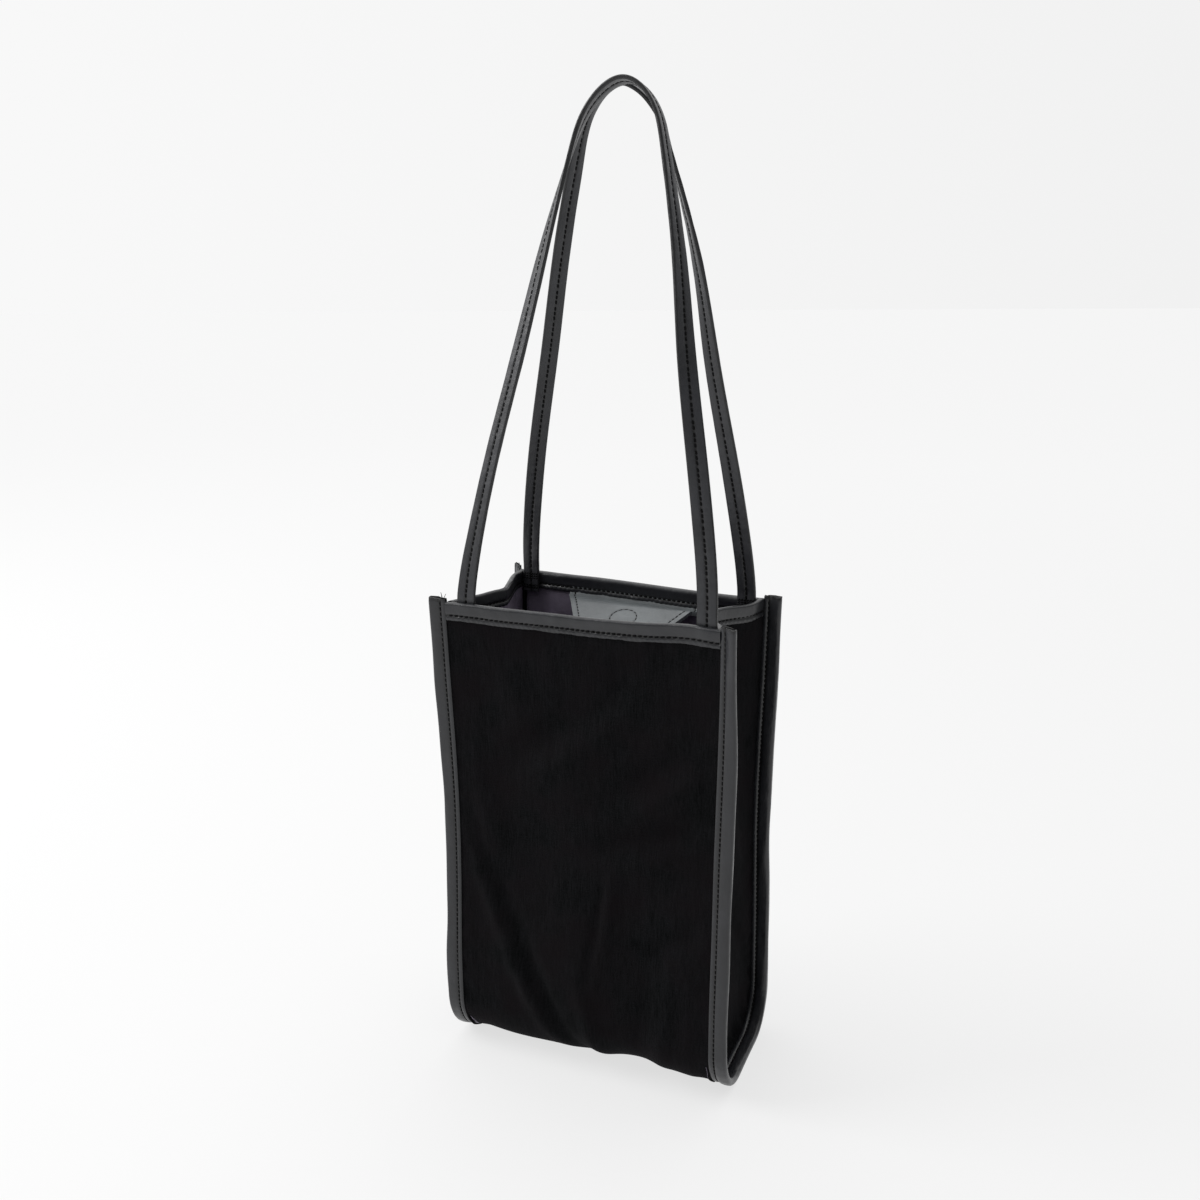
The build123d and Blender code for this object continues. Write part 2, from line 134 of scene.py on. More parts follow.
def rounded_line(corners, radii, step=0.25):
    """Straight runs between the corners, each corner cut by the arc tangent to its two runs."""
    corners = np.array(corners, float)
    runs = np.diff(corners, axis=0)
    way = runs / np.hypot(runs[:, 0], runs[:, 1])[:, None]
    cross = way[:-1, 0] * way[1:, 1] - way[:-1, 1] * way[1:, 0]
    turn = np.arctan2(cross, (way[:-1] * way[1:]).sum(1))
    stretches = [corners[:1]]
    for corner, radius, angle, ahead in zip(corners[1:-1], radii, turn, way):
        start = corner - ahead * radius * abs(math.tan(angle / 2))
        t = np.linspace(0, abs(angle), 60)[:, None]
        left = np.array([-ahead[1], ahead[0]]) * math.copysign(1, angle)
        stretches.append(start + radius * (np.sin(t) * ahead + (1 - np.cos(t)) * left))
    stretches.append(corners[-1:])
    return even(np.concatenate(stretches), step)


def eased(t):
    """Rises from 0 to 1 with no sudden start or stop."""
    t = np.clip(t, 0, 1)
    return t * t * (3 - 2 * t)


def unit(v):
    """The same directions, each 1 long."""
    return v / np.linalg.norm(v, axis=-1, keepdims=True)


def make_profile():
    """The outside of the bag seen from its right side, from the front's top round to the back's."""
    top = BINDING_TOP
    half = [(MOUTH + WALL_FLARE * (top - RIM_TOP), top), (WAIST, WAIST_HEIGHT), (BELLY, BELLY_HEIGHT), (BASE, 0)]
    corners = [(-y, z) for y, z in half] + half[::-1]
    bends = [WAIST_RADIUS, BELLY_RADIUS, BASE_RADIUS_FRONT, BASE_RADIUS, BELLY_RADIUS, WAIST_RADIUS]
    return rounded_line(corners, bends)


PROFILE = make_profile()
PROFILE_STEP = np.linalg.norm(PROFILE[1] - PROFILE[0])
PROFILE_AT = np.arange(len(PROFILE)) * PROFILE_STEP
PROFILE_WAY = unit(np.gradient(PROFILE, axis=0))
AROUND = PROFILE_AT[-1]
PANEL_START = (BINDING_TOP - PANEL_TOP) * 1.0015


def at_profile(s, inset=0.0):
    """Where a point lies that is s along the profile and inset below it: y, z and the outward y, z."""
    y, z, way_y, way_z = (
        np.interp(s, PROFILE_AT, column)
        for column in (PROFILE[:, 0], PROFILE[:, 1], PROFILE_WAY[:, 0], PROFILE_WAY[:, 1])
    )
    return y - inset * way_z, z + inset * way_y, way_z, -way_y


def wall_y(z, inset):
    """How far the upper part of the front or back stands from the bag's middle, at height z."""
    return MOUTH + WALL_FLARE * (z - RIM_TOP) - inset * math.hypot(1, WALL_FLARE)


def ripples(u, v, seed, count, shortest, longest, upright=1.0):
    """A gentle irregular surface: the sum of many plane waves, about 1 high, longer along v."""
    draw = np.random.default_rng(seed)
    length = draw.uniform(shortest, longest, count)
    angle = draw.uniform(0, math.pi, count)
    phase = draw.uniform(0, 2 * math.pi, count)
    total = np.zeros(np.broadcast(u, v).shape)
    for k in range(count):
        across = 2 * math.pi / length[k] * np.cos(angle[k])
        along = 2 * math.pi / length[k] * np.sin(angle[k]) / upright
        total += np.sin(across * u + along * v + phase[k])
    return total / math.sqrt(count / 2)


def creases(u, v, lines):
    """Soft ridges: each is a bell across a line of a given middle, slant, length and width."""
    total = np.zeros(np.broadcast(u, v).shape)
    for u0, v0, slant, length, width, height in lines:
        c, s = math.cos(math.radians(slant)), math.sin(math.radians(slant))
        along = (u - u0) * c + (v - v0) * s
        across = -(u - u0) * s + (v - v0) * c
        total += height * np.exp(-((along / length) ** 2) - (across / width) ** 2)
    return total


def give(points):
    """Where worn use has left each point: the mouth is no longer level, straight or quite square.

    The back of the mouth sinks towards its right end, the front of it leans in beside the right strap
    and over the middle, and the right side stands out. The back left corner draws in. Each is a bell or
    an eased step across the bag, and all of it fades out down the walls and up the straps. The front
    stays where it is over the catch.
    """
    x, y, z = points[..., 0], points[..., 1], points[..., 2]
    wall = eased((z - 130) / 150) * (1 - eased((z - 290) / 130))
    rim = eased((z - 215) / 55) * (1 - eased((z - 284) / 60))
    sunk = 5.4 * eased((y + 48) / 96) * eased((x + 75) / 150)
    at_front, at_back = eased((-y - 22) / 20), eased((y - 22) / 20)
    held = eased((FLANGE_IN - np.abs(x)) / 14)
    over_catch = 1 - eased((24 - np.abs(x)) / 8) * eased((262 - z) / 6)
    lean = 1.9 * np.exp(-(((x - 55) / 13) ** 2)) + 1.6 * np.exp(-(((x + 4) / 38) ** 2))
    lift = 0.8 * np.exp(-(((x - 62) / 11) ** 2)) - 0.9 * np.exp(-(((x - 8) / 32) ** 2))
    lift = lift + 0.7 * eased((-x - 40) / 30)
    slack = 1.2 * np.exp(-(((x + 45) / 15) ** 2)) - 0.8 * np.exp(-(((x - 8) / 40) ** 2))
    front_right = at_front * eased((x - 76) / 12)
    back_left = at_back * eased((-x - 76) / 12)
    flare = (2.0 + 1.5 * at_front) * eased((x - 42) / 36) - 1.5 * at_front * eased((-x - 55) / 33)
    corner = eased((z - 190) / 90) * wall
    out_x = flare * wall + (4.0 * back_left - 1.5 * front_right) * corner
    out_y = (lean * at_front * over_catch - slack * at_back) * held * rim
    out_y = out_y + (6.0 * back_left - 4.0 * front_right) * corner
    return points + np.stack([out_x, out_y, -sunk * wall + lift * at_front * rim], -1)


# ---- Meshes ----
def finish_mesh(name, mesh, material, angle=40):
    """An object at the origin, its faces outward and smooth but for its sharp edges."""
    work = bmesh.new()
    work.from_mesh(mesh)
    bmesh.ops.recalc_face_normals(work, faces=work.faces)
    work.to_mesh(mesh)
    work.free()
    mesh.shade_smooth()
    mesh.set_sharp_from_angle(angle=math.radians(angle))
    mesh.materials.append(material)
    piece = bpy.data.objects.new(name, mesh)
    bpy.context.scene.collection.objects.link(piece)
    return piece


def grid_faces(rows, columns, closed):
    """Four-cornered faces of a grid, joined round its columns when closed."""
    index = np.arange(rows * columns).reshape(rows, columns)
    if closed:
        index = np.concatenate([index, index[:, :1]], axis=1)
    corners = [index[:-1, :-1], index[1:, :-1], index[1:, 1:], index[:-1, 1:]]
    return np.stack(corners, -1).reshape(-1, 4).tolist()


def shade_points(mesh, shade):
    """How much darker the leather is painted at each point, for ink and for painted shade along stitch grooves: 0 for
    its own colour.
    """
    layer = mesh.attributes.new("shade", "FLOAT", "POINT")
    layer.data.foreach_set("value", np.asarray(shade, np.float32).ravel())


def sheet_mesh(name, points, uv, material, thick, shade=None):
    """An open grid of points (rows, columns, 3), given a thickness, with a map in metres."""
    rows, columns = points.shape[:2]
    mesh = bpy.data.meshes.new(name)
    mesh.from_pydata((give(points).reshape(-1, 3) * MM).tolist(), [], grid_faces(rows, columns, False))
    if shade is not None:
        shade_points(mesh, shade)
    layer = mesh.uv_layers.new(name="cloth")
    owner = np.zeros(len(mesh.loops), int)
    mesh.loops.foreach_get("vertex_index", owner)
    layer.data.foreach_set("uv", (uv.reshape(-1, 2)[owner] * MM).ravel().astype(np.float32))
    piece = finish_mesh(name, mesh, material)
    wall = piece.modifiers.new("thickness", "SOLIDIFY")
    wall.thickness = thick * MM
    wall.offset = 0
    return piece


def tube_mesh(name, points, material, angle=40, shade=None):
    """A closed section carried along a line: points (steps, section, 3), with flat ends."""
    rows, columns = points.shape[:2]
    faces = grid_faces(rows, columns, True)
    last = (rows - 1) * columns
    faces += [list(range(columns))[::-1], list(range(last, last + columns))]
    mesh = bpy.data.meshes.new(name)
    mesh.from_pydata((give(points).reshape(-1, 3) * MM).tolist(), [], faces)
    if shade is not None:
        shade_points(mesh, np.broadcast_to(shade, (rows, columns)))
    return finish_mesh(name, mesh, material, angle)


def stitch_mesh(name, places, ways, normals, material, length=2.1, width=1.05, height=0.55, slant=7):
    """A row of stitches: each a rounded bead of six sides, thickest in the middle, turned a little."""
    places, ways, normals = (np.asarray(a, float) for a in (places, unit(ways), unit(normals)))
    sides = np.cross(normals, ways)
    c, s = math.cos(math.radians(slant)), math.sin(math.radians(slant))
    ways, sides = ways * c + sides * s, sides * c - ways * s
    around = np.arange(6) * math.pi / 3
    ring = [(-0.5, 0.45), (-0.3, 1.0), (0.3, 1.0), (0.5, 0.45)]
    bead = np.array([
        (x * length, r * np.cos(a) * width / 2, r * np.sin(a) * height / 2) for x, r in ring for a in around
    ])
    points = (
        places[:, None]
        + bead[None, :, :1] * ways[:, None]
        + bead[None, :, 1:2] * sides[:, None]
        + bead[None, :, 2:] * normals[:, None]
    )
    count = len(bead)
    faces = grid_faces(len(ring), len(around), True)
    ends = [list(range(6))[::-1], list(range(count - 6, count))]
    first = count * np.arange(len(places))[:, None, None]
    quads = (np.array(faces)[None] + first).reshape(-1, 4)
    caps = (np.array(ends)[None] + first).reshape(-1, 6)
    mesh = bpy.data.meshes.new(name)
    mesh.from_pydata((give(points).reshape(-1, 3) * MM).tolist(), [], quads.tolist() + caps.tolist())
    return finish_mesh(name, mesh, material, 60)


def settle(piece, body, slot, *nodes):
    """The piece rides on a body and stands for CAD nodes, which are hidden; slot is not used."""
    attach(piece, body)
    if nodes:
        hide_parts(*nodes)
    return piece


# ---- Materials ----
WAVE = 0.314  # a wave texture of this scale repeats once in a metre


def linear(hex_colour):
    """An sRGB hex colour as linear RGBA."""
    parts = [int(hex_colour[i : i + 2], 16) / 255 for i in (1, 3, 5)]
    return [p / 12.92 if p <= 0.04045 else ((p + 0.055) / 1.055) ** 2.4 for p in parts] + [1.0]


def add_node(tree, kind, settings=None, **links):
    """A node with its settings. Each link names an input, or its number as i0; it takes a value or an output."""
    made = tree.nodes.new("ShaderNode" + kind)
    for key, value in (settings or {}).items():
        setattr(made, key, value)
    for key, value in links.items():
        by_number = key[0] == "i" and key[1:].isdigit()
        socket = made.inputs[int(key[1:]) if by_number else key.replace("_", " ")]
        if isinstance(value, bpy.types.NodeSocket):
            tree.links.new(value, socket)
        else:
            socket.default_value = value
    return made


def new_material(name):
    """An empty material with its shader, and the nodes to build on."""
    material = bpy.data.materials.new(name)
    material.use_nodes = True
    tree = material.node_tree
    shader = tree.nodes["Principled BSDF"]
    return material, tree, shader


def set_ramp(node, *stops):
    """Colour stops of a ramp, each a place and a hex colour."""
    ramp = node.color_ramp
    while len(ramp.elements) < len(stops):
        ramp.elements.new(0.5)
    for element, (place, colour) in zip(ramp.elements, stops):
        element.position = place
        element.color = linear(colour)
    return node


def cotton_canvas(name, light, dark, tint):
    """Black-dyed woven cotton canvas: matt, with fine upright slubs in its warp and a fibrous, grainy face."""
    material, tree, shader = new_material(name)
    place = add_node(tree, "UVMap", {"uv_map": "cloth"}).outputs["UV"]
    # Real threads lie about 0.4 mm apart; they are drawn twice as coarse, or they wouldn't show.
    warp = add_node(tree, "Mapping", Vector=place, Scale=(1.0, 0.085, 1.0)).outputs["Vector"]
    weft = add_node(tree, "Mapping", Vector=place, Scale=(0.16, 1.0, 1.0)).outputs["Vector"]
    slub = add_node(tree, "TexNoise", Vector=warp, Scale=1 / (0.8 * MM), Detail=3.0, Roughness=0.6).outputs["Fac"]
    cross = add_node(tree, "TexNoise", Vector=weft, Scale=1 / (0.8 * MM), Detail=2.0).outputs["Fac"]
    fuzz = add_node(tree, "TexNoise", Vector=place, Scale=1 / (0.75 * MM), Detail=4.0, Roughness=0.7).outputs["Fac"]
    streak = add_node(tree, "TexNoise", Vector=warp, Scale=1 / (4.5 * MM), Detail=4.0).outputs["Fac"]
    blotch = add_node(tree, "TexNoise", Vector=place, Scale=1 / (30 * MM), Detail=3.0).outputs["Fac"]
    threads = add_node(tree, "Math", {"operation": "MULTIPLY_ADD"}, i0=cross, i1=0.35, i2=slub).outputs[0]
    shade = add_node(tree, "Math", {"operation": "MULTIPLY_ADD"}, i0=fuzz, i1=1.1, i2=threads).outputs[0]
    toned = add_node(tree, "Math", {"operation": "MULTIPLY_ADD"}, i0=streak, i1=0.45, i2=shade).outputs[0]
    marked_tone = add_node(tree, "Math", {"operation": "MULTIPLY_ADD"}, i0=blotch, i1=0.8, i2=toned).outputs[0]
    tone = add_node(tree, "MapRange", Value=marked_tone, From_Min=1.45, From_Max=2.2).outputs["Result"]
    mixed = add_node(tree, "Mix", {"data_type": "RGBA"}, Factor=tone, A=linear(dark), B=linear(light))
    red = add_node(tree, "MapRange", Value=blotch, From_Min=0.4, From_Max=0.66, To_Max=0.7).outputs["Result"]
    faded = add_node(tree, "Mix", {"data_type": "RGBA"}, Factor=red, A=mixed.outputs["Result"], B=linear(tint))
    tree.links.new(faded.outputs["Result"], shader.inputs["Base Color"])
    fine = add_node(tree, "Bump", Strength=0.6, Distance=0.2 * MM, Height=shade).outputs["Normal"]
    puff = add_node(tree, "Bump", Strength=0.5, Distance=0.5 * MM, Height=streak, Normal=fine).outputs["Normal"]
    tree.links.new(puff, shader.inputs["Normal"])
    shader.inputs["Roughness"].default_value = 0.95
    shader.inputs["Specular IOR Level"].default_value = 0.04
    shader.inputs["Sheen Weight"].default_value = 0.07
    shader.inputs["Sheen Roughness"].default_value = 0.45
    shader.inputs["Sheen Tint"].default_value = linear("#77757a")
    return material


def lining_twill(name, light, dark):
    """Fine synthetic lining: smooth, with a soft lustre that follows its creases."""
    material, tree, shader = new_material(name)
    place = add_node(tree, "UVMap", {"uv_map": "cloth"}).outputs["UV"]
    slant = add_node(tree, "Mapping", Vector=place, Rotation=(0, 0, 0.9)).outputs["Vector"]
    # Twill ribs of 0.9 mm, about three times the real ones, or they wouldn't show.
    twill = add_node(tree, "TexWave", Vector=slant, Scale=WAVE / (0.9 * MM), Distortion=0.4)
    crush = add_node(tree, "TexNoise", Vector=place, Scale=1 / (13 * MM), Detail=4.0).outputs["Fac"]
    tone = set_ramp(add_node(tree, "ValToRGB", Fac=crush), (0.3, dark), (0.7, light))
    tree.links.new(tone.outputs["Color"], shader.inputs["Base Color"])
    fine = add_node(tree, "Bump", Strength=0.25, Distance=0.1 * MM, Height=twill.outputs["Fac"]).outputs["Normal"]
    soft = add_node(tree, "Bump", Strength=0.4, Distance=1.2 * MM, Height=crush, Normal=fine).outputs["Normal"]
    tree.links.new(soft, shader.inputs["Normal"])
    shader.inputs["Roughness"].default_value = 0.5
    shader.inputs["Sheen Weight"].default_value = 0.3
    shader.inputs["Sheen Roughness"].default_value = 0.4
    shader.inputs["Sheen Tint"].default_value = linear("#7d7280")
    return material


def calf_leather(name, light, dark, rough=0.46):
    """Smooth dyed calf leather: a satin skin with a fine pebble and faint creases.

    It is darker where it is inked at its cut edges, and along its stitches, where the pressed-down leather is darker
    and painted shade stands for the shadow in the stitch grooves.
    """
    material, tree, shader = new_material(name)
    place = add_node(tree, "TexCoord").outputs["Object"]
    pebble = add_node(tree, "TexVoronoi", {"feature": "F1"}, Vector=place, Scale=1 / (0.9 * MM)).outputs["Distance"]
    creased = add_node(tree, "TexNoise", Vector=place, Scale=1 / (3.2 * MM), Detail=5.0, Roughness=0.62)
    creased = creased.outputs["Fac"]
    cloud = add_node(tree, "TexNoise", Vector=place, Scale=1 / (21 * MM), Detail=2.0).outputs["Fac"]
    tone = set_ramp(add_node(tree, "ValToRGB", Fac=cloud), (0.32, dark), (0.68, light))
    ink_and_groove_shade = add_node(tree, "Attribute", {"attribute_name": "shade"}).outputs["Fac"]
    ink_and_shade_colour = linear("#0d0d0e")
    # Mixes in ink at the cut edges and painted shade along the stitch grooves.
    marked_tone = add_node(tree, "Mix", {"data_type": "RGBA"}, Factor=ink_and_groove_shade, A=tone.outputs["Color"], B=ink_and_shade_colour)
    tree.links.new(marked_tone.outputs["Result"], shader.inputs["Base Color"])
    low, high = rough - 0.06, rough + 0.08
    gloss = add_node(tree, "MapRange", Value=creased, From_Min=0.3, From_Max=0.7, To_Min=low, To_Max=high)
    tree.links.new(gloss.outputs["Result"], shader.inputs["Roughness"])
    soft = add_node(tree, "TexNoise", Vector=place, Scale=1 / (9 * MM), Detail=3.0).outputs["Fac"]
    grain = add_node(tree, "Bump", Strength=0.25, Distance=0.08 * MM, Height=pebble).outputs["Normal"]
    skin = add_node(tree, "Bump", Strength=0.4, Distance=0.3 * MM, Height=creased, Normal=grain).outputs["Normal"]
    wavy = add_node(tree, "Bump", Strength=0.5, Distance=1.2 * MM, Height=soft, Normal=skin).outputs["Normal"]
    tree.links.new(wavy, shader.inputs["Normal"])
    shader.inputs["IOR"].default_value = 1.5
    shader.inputs["Coat Weight"].default_value = 0.06
    shader.inputs["Coat Roughness"].default_value = 0.35
    return material


def sewing_thread(name, light, dark):
    """Bonded polyester thread: plies that show as a slanting rib, nearly matt."""
    material, tree, shader = new_material(name)
    place = add_node(tree, "TexCoord").outputs["Object"]
    slant = add_node(tree, "Mapping", Vector=place, Rotation=(0.6, 0.5, 0.7)).outputs["Vector"]
    plies = add_node(tree, "TexWave", Vector=slant, Scale=WAVE / (0.55 * MM), Distortion=0.3).outputs["Fac"]
    tone = set_ramp(add_node(tree, "ValToRGB", Fac=plies), (0.2, dark), (0.9, light))
    tree.links.new(tone.outputs["Color"], shader.inputs["Base Color"])
    rib = add_node(tree, "Bump", Strength=0.5, Distance=0.1 * MM, Height=plies).outputs["Normal"]
    tree.links.new(rib, shader.inputs["Normal"])
    shader.inputs["Roughness"].default_value = 0.7
    shader.inputs["Specular IOR Level"].default_value = 0.12
    return material


def nickel_plate(name):
    """Nickel-plated steel: bright, with the faint haze of barrel plating."""
    material, tree, shader = new_material(name)
    place = add_node(tree, "TexCoord").outputs["Object"]
    haze = add_node(tree, "TexNoise", Vector=place, Scale=1 / (2 * MM), Detail=3.0).outputs["Fac"]
    gloss = add_node(tree, "MapRange", Value=haze, From_Min=0.3, From_Max=0.7, To_Min=0.22, To_Max=0.34)
    tone = set_ramp(add_node(tree, "ValToRGB", Fac=haze), (0.3, "#b9b8b2"), (0.7, "#cccbc6"))
    tree.links.new(gloss.outputs["Result"], shader.inputs["Roughness"])
    tree.links.new(tone.outputs["Color"], shader.inputs["Base Color"])
    shader.inputs["Metallic"].default_value = 1.0
    return material


def smooth_step(tree, value, start, end, low, high):
    """An output that eases from low to high as the value goes from start to end."""
    ease = {"interpolation_type": "SMOOTHSTEP"}
    limits = {"From_Min": start, "From_Max": end, "To_Min": low, "To_Max": high}
    return add_node(tree, "MapRange", ease, Value=value, **limits).outputs["Result"]


def sideways(tree, vector):
    """From 0 at the left to 1 at the right, by direction, for light that comes from the left."""
    level = add_node(tree, "VectorMath", {"operation": "NORMALIZE"}, i0=vector).outputs["Vector"]
    across = add_node(tree, "SeparateXYZ", Vector=level).outputs["X"]
    return add_node(tree, "MapRange", Value=across, From_Min=-0.72, From_Max=0.08).outputs["Result"]


def studio_card(name, left, right, glow):
    """White table that glows as painted light, so shadows on it stay faint; the glow is lighter to the left as
    painted falloff of the light from the left, and a little stronger far off.
    """
    material, tree, shader = new_material(name)
    place = add_node(tree, "TexCoord").outputs["Object"]
    flat = add_node(tree, "VectorMath", {"operation": "ADD"}, i0=place, i1=(-0.245, 0.613, 0.0)).outputs["Vector"]
    # Painted falloff of the light from the left, in the colour of the glow.
    tone = set_ramp(add_node(tree, "ValToRGB", Fac=sideways(tree, flat)), (0.0, left), (1.0, right))
    tree.links.new(tone.outputs["Color"], shader.inputs["Emission Color"])
    away = add_node(tree, "VectorMath", {"operation": "LENGTH"}, i0=flat).outputs["Value"]
    level = smooth_step(tree, away, 0.6, 3.5, glow, glow * 1.05)
    tree.links.new(level, shader.inputs["Emission Strength"])
    shader.inputs["Base Color"].default_value = linear("#7c7c7c")
    shader.inputs["Roughness"].default_value = 0.9
    shader.inputs["Specular IOR Level"].default_value = 0.0
    return material


CANVAS_CLOTH = cotton_canvas("black_cotton_canvas", "#1c1c1e", "#060707", "#130f11")
LINING_CLOTH = lining_twill("dark_twill_lining", "#7a7283", "#5d5663")
BINDING_SKIN = calf_leather("calf_binding_leather", "#25262a", "#1c1d20", 0.36)
STRAP_SKIN = calf_leather("calf_strap_leather", "#303135", "#27282b", 0.4)
# The tab is the binding's leather, coloured much lighter as painted light from above on its upturned face; the catch
# patch takes it too.
TAB_SKIN_PAINTED_LIGHT = calf_leather("calf_tab_leather_painted_light", "#63686a", "#565a5c", 0.46)
THREAD = sewing_thread("bonded_polyester_thread", "#0b0b0c", "#050506")
NICKEL = nickel_plate("nickel_plated_steel")


# ---- Canvas body: front, base and back ----
def body_relief(u, s):
    """How far the canvas stands out from its flat shape, in mm, at u across and s along the profile.

    It is a sum of slack (plane waves), folds (bells across a slanting line), a swell above the base and
    puckers (a sine along each seam, dying out away from it). All of it is held flat at the seams.
    """
    middle = AROUND / 2
    held = eased((FLANGE_IN + 1 - np.abs(u)) / 15)
    rim_held = eased((np.minimum(s, AROUND - s) - 11) / 30)
    slack = 0.75 * ripples(u, s, SEED, 16, 38, 120, 2.2) * held * rim_held
    front = creases(u, s, [
        (-54, 186, 65, 46, 6.5, 1.9),
        (-45, 190, 66, 44, 7, -1.5),
        (-62, 120, 78, 34, 8, 1.0),
        (9, 187, 97, 30, 3.2, -0.9),
        (15, 180, 96, 34, 5, 0.8),
        (-5, 61, -39, 46, 9, -2.0),
        (6, 74, -39, 44, 9, 1.5),
        (45, 85, -36, 34, 8, -2.0),
        (52, 98, -34, 30, 7, 1.5),
        (42, 124, -22, 38, 8, -1.8),
        (46, 138, -22, 34, 8, 1.4),
        (60, 184, -35, 26, 7, -1.3),
        (-40, 50, 74, 30, 10, 0.9),
        (-22, 238, 62, 34, 6, -1.7),
        (-32, 236, 60, 34, 6, 1.3),
        (6, 252, 78, 34, 6, 1.4),
        (38, 236, 100, 38, 7, -1.1),
        (50, 244, 96, 34, 6, 1.0),
    ])
    back = creases(u, s, [
        (-30, AROUND - 190, 80, 60, 12, 1.3),
        (10, AROUND - 150, 95, 80, 14, -1.2),
        (44, AROUND - 215, 118, 55, 10, 1.3),
    ])
    bowed = np.cos(np.clip(u / FLANGE_IN, -1, 1) * math.pi / 2)
    swell = np.exp(-((np.abs(s - middle) - 95) / 42) ** 2) * bowed
    edge = np.exp(-((FLANGE_IN - np.abs(u)) / 6.5) ** 2)
    low = np.exp(-((np.abs(s - middle) - 52) / 46) ** 2)
    pucker = (0.25 + 0.5 * low) * edge * np.sin(s / 3.1 + 2.2 * np.sin(s / 17.0) + np.sign(u))
    pucker = pucker * base_slack(s) * eased((FLANGE_IN + 1 - np.abs(u)) / 3)
    folds = FOLD_DEPTH * (front + back) * rim_held
    return ((slack + folds) * held + swell) * off_catch(u, s) + pucker


def off_catch(u, s):
    """0 over the catch on the front, rising to 1 a little way round it."""
    return 1 - np.exp(-((np.hypot(u, s - CATCH_AT) / CATCH_CLEAR) ** 4))


def base_slack(s):
    """1 where the canvas hangs free, and 0 on the flat of the base, which stays off the floor."""
    return eased((np.abs(s - AROUND / 2) - 14) / 26)


def canvas_body():
    """The profile carried across the bag, moved outwards by the relief, and kept just clear of the floor."""
    u = np.linspace(-PANEL_EDGE, PANEL_EDGE, 112)[None, :]
    s = np.linspace(PANEL_START, AROUND - PANEL_START, 400)[:, None]
    y, z, out_y, out_z = at_profile(s, PANEL_AT + CANVAS / 2)
    lifted = 0.3 * (1 - base_slack(s)) * eased((FLANGE_IN - np.abs(u)) / 8)
    relief = body_relief(u, s) * base_slack(s) - lifted
    points = np.stack(np.broadcast_arrays(u, y + relief * out_y, z + relief * out_z), -1)
    uv = np.stack(np.broadcast_arrays(u, s), -1)
    piece = sheet_mesh("canvas_body", points, uv, CANVAS_CLOTH, CANVAS)
    settle(piece, "bag", "canvas", "body_panel")
    return piece


# ---- Gussets ----
def inner_half_depth(z, inset):
    """How far from the middle the inside of the profile lies at height z."""
    back = PROFILE_AT > AROUND / 2
    y, height, _, _ = at_profile(PROFILE_AT[back], inset)
    order = np.argsort(height + y * 1e-6)
    return np.interp(z, height[order], y[order])


def edge_distance(y, z, inset):
    """Distance of points from the inside of the profile, in its own plane."""
    line_y, line_z, _, _ = at_profile(np.linspace(0, AROUND, 900), inset)
    nearest = np.full(y.shape, np.inf)
    for start in range(0, len(line_y), 60):
        part = slice(start, start + 60)
        away = np.hypot(y[..., None] - line_y[part], z[..., None] - line_z[part])
        nearest = np.minimum(nearest, away.min(-1))
    return nearest


def web_x(y, z, fold, seed):
    """How far out the gusset lies: drawn in more the higher it is, with upright creases."""
    depth = np.maximum(inner_half_depth(z, INNER_AT), 20)
    across = 1 - np.abs(y) / depth
    drawn = (2 + (fold - 2) * z / RIM_TOP) * eased(across)
    held = eased(across / 0.35)
    soft = creases(y, z, [
        (1, 190, 90, 110, 4.5, -1.6),
        (13, 150, 104, 80, 7, 1.5),
        (-15, 170, 80, 85, 7, 1.2),
        (24, 70, 118, 40, 5, -1.3),
        (-22, 60, 62, 36, 5, -1.1),
        (2, 40, 90, 30, 7, 1.6),
    ])
    slack = 0.7 * ripples(y, z, seed, 12, 22, 70, 2.6)
    return WEB_AT - drawn + (soft + slack) * held


def gusset_grid(inset, fold, seed, top):
    """Points of a gusset: rows by height, closer near the base, and columns closer at the seams."""
    rise = np.linspace(0, 1, 200)[:, None] ** 1.5
    z = inset + (top - inset) * rise
    v = np.sin(np.linspace(-1, 1, 90)[None, :] * math.pi / 2)
    y = v * inner_half_depth(z, inset)
    z = np.broadcast_to(z, y.shape)
    away = edge_distance(y, z, inset)
    x = web_x(y, z, fold, seed)
    angle = np.arctan2(z - 60, y)
    base_pucker = 0.75 * np.exp(-((away - 5) / 6) ** 2) * np.exp(-(z / 55) ** 2)
    wall_pucker = 0.3 * np.exp(-((away - 4) / 4) ** 2) * np.sin(z / 3.4 + np.sign(y))
    x = x + base_pucker * np.sin(26 * angle)
    x = x + wall_pucker
    return x, y, z, away


def gusset(side, fold, seed, name, node):
    """The web bows in, and its edge turns out into the seam under the binding."""
    x, y, z, away = gusset_grid(INNER_AT + 0.1, fold, seed, PANEL_TOP)
    turned = (FLANGE_IN + 2.0 - x) * np.exp(-((away / 0.55) ** 1.3))
    x = x + turned + 1.1 * np.exp(-away / 1.6)
    points = np.stack([side * x, y, z], -1)
    uv = np.stack([y, z], -1)
    piece = sheet_mesh(name, points, uv, CANVAS_CLOTH, CANVAS)
    settle(piece, "bag", "canvas", node)
    return piece


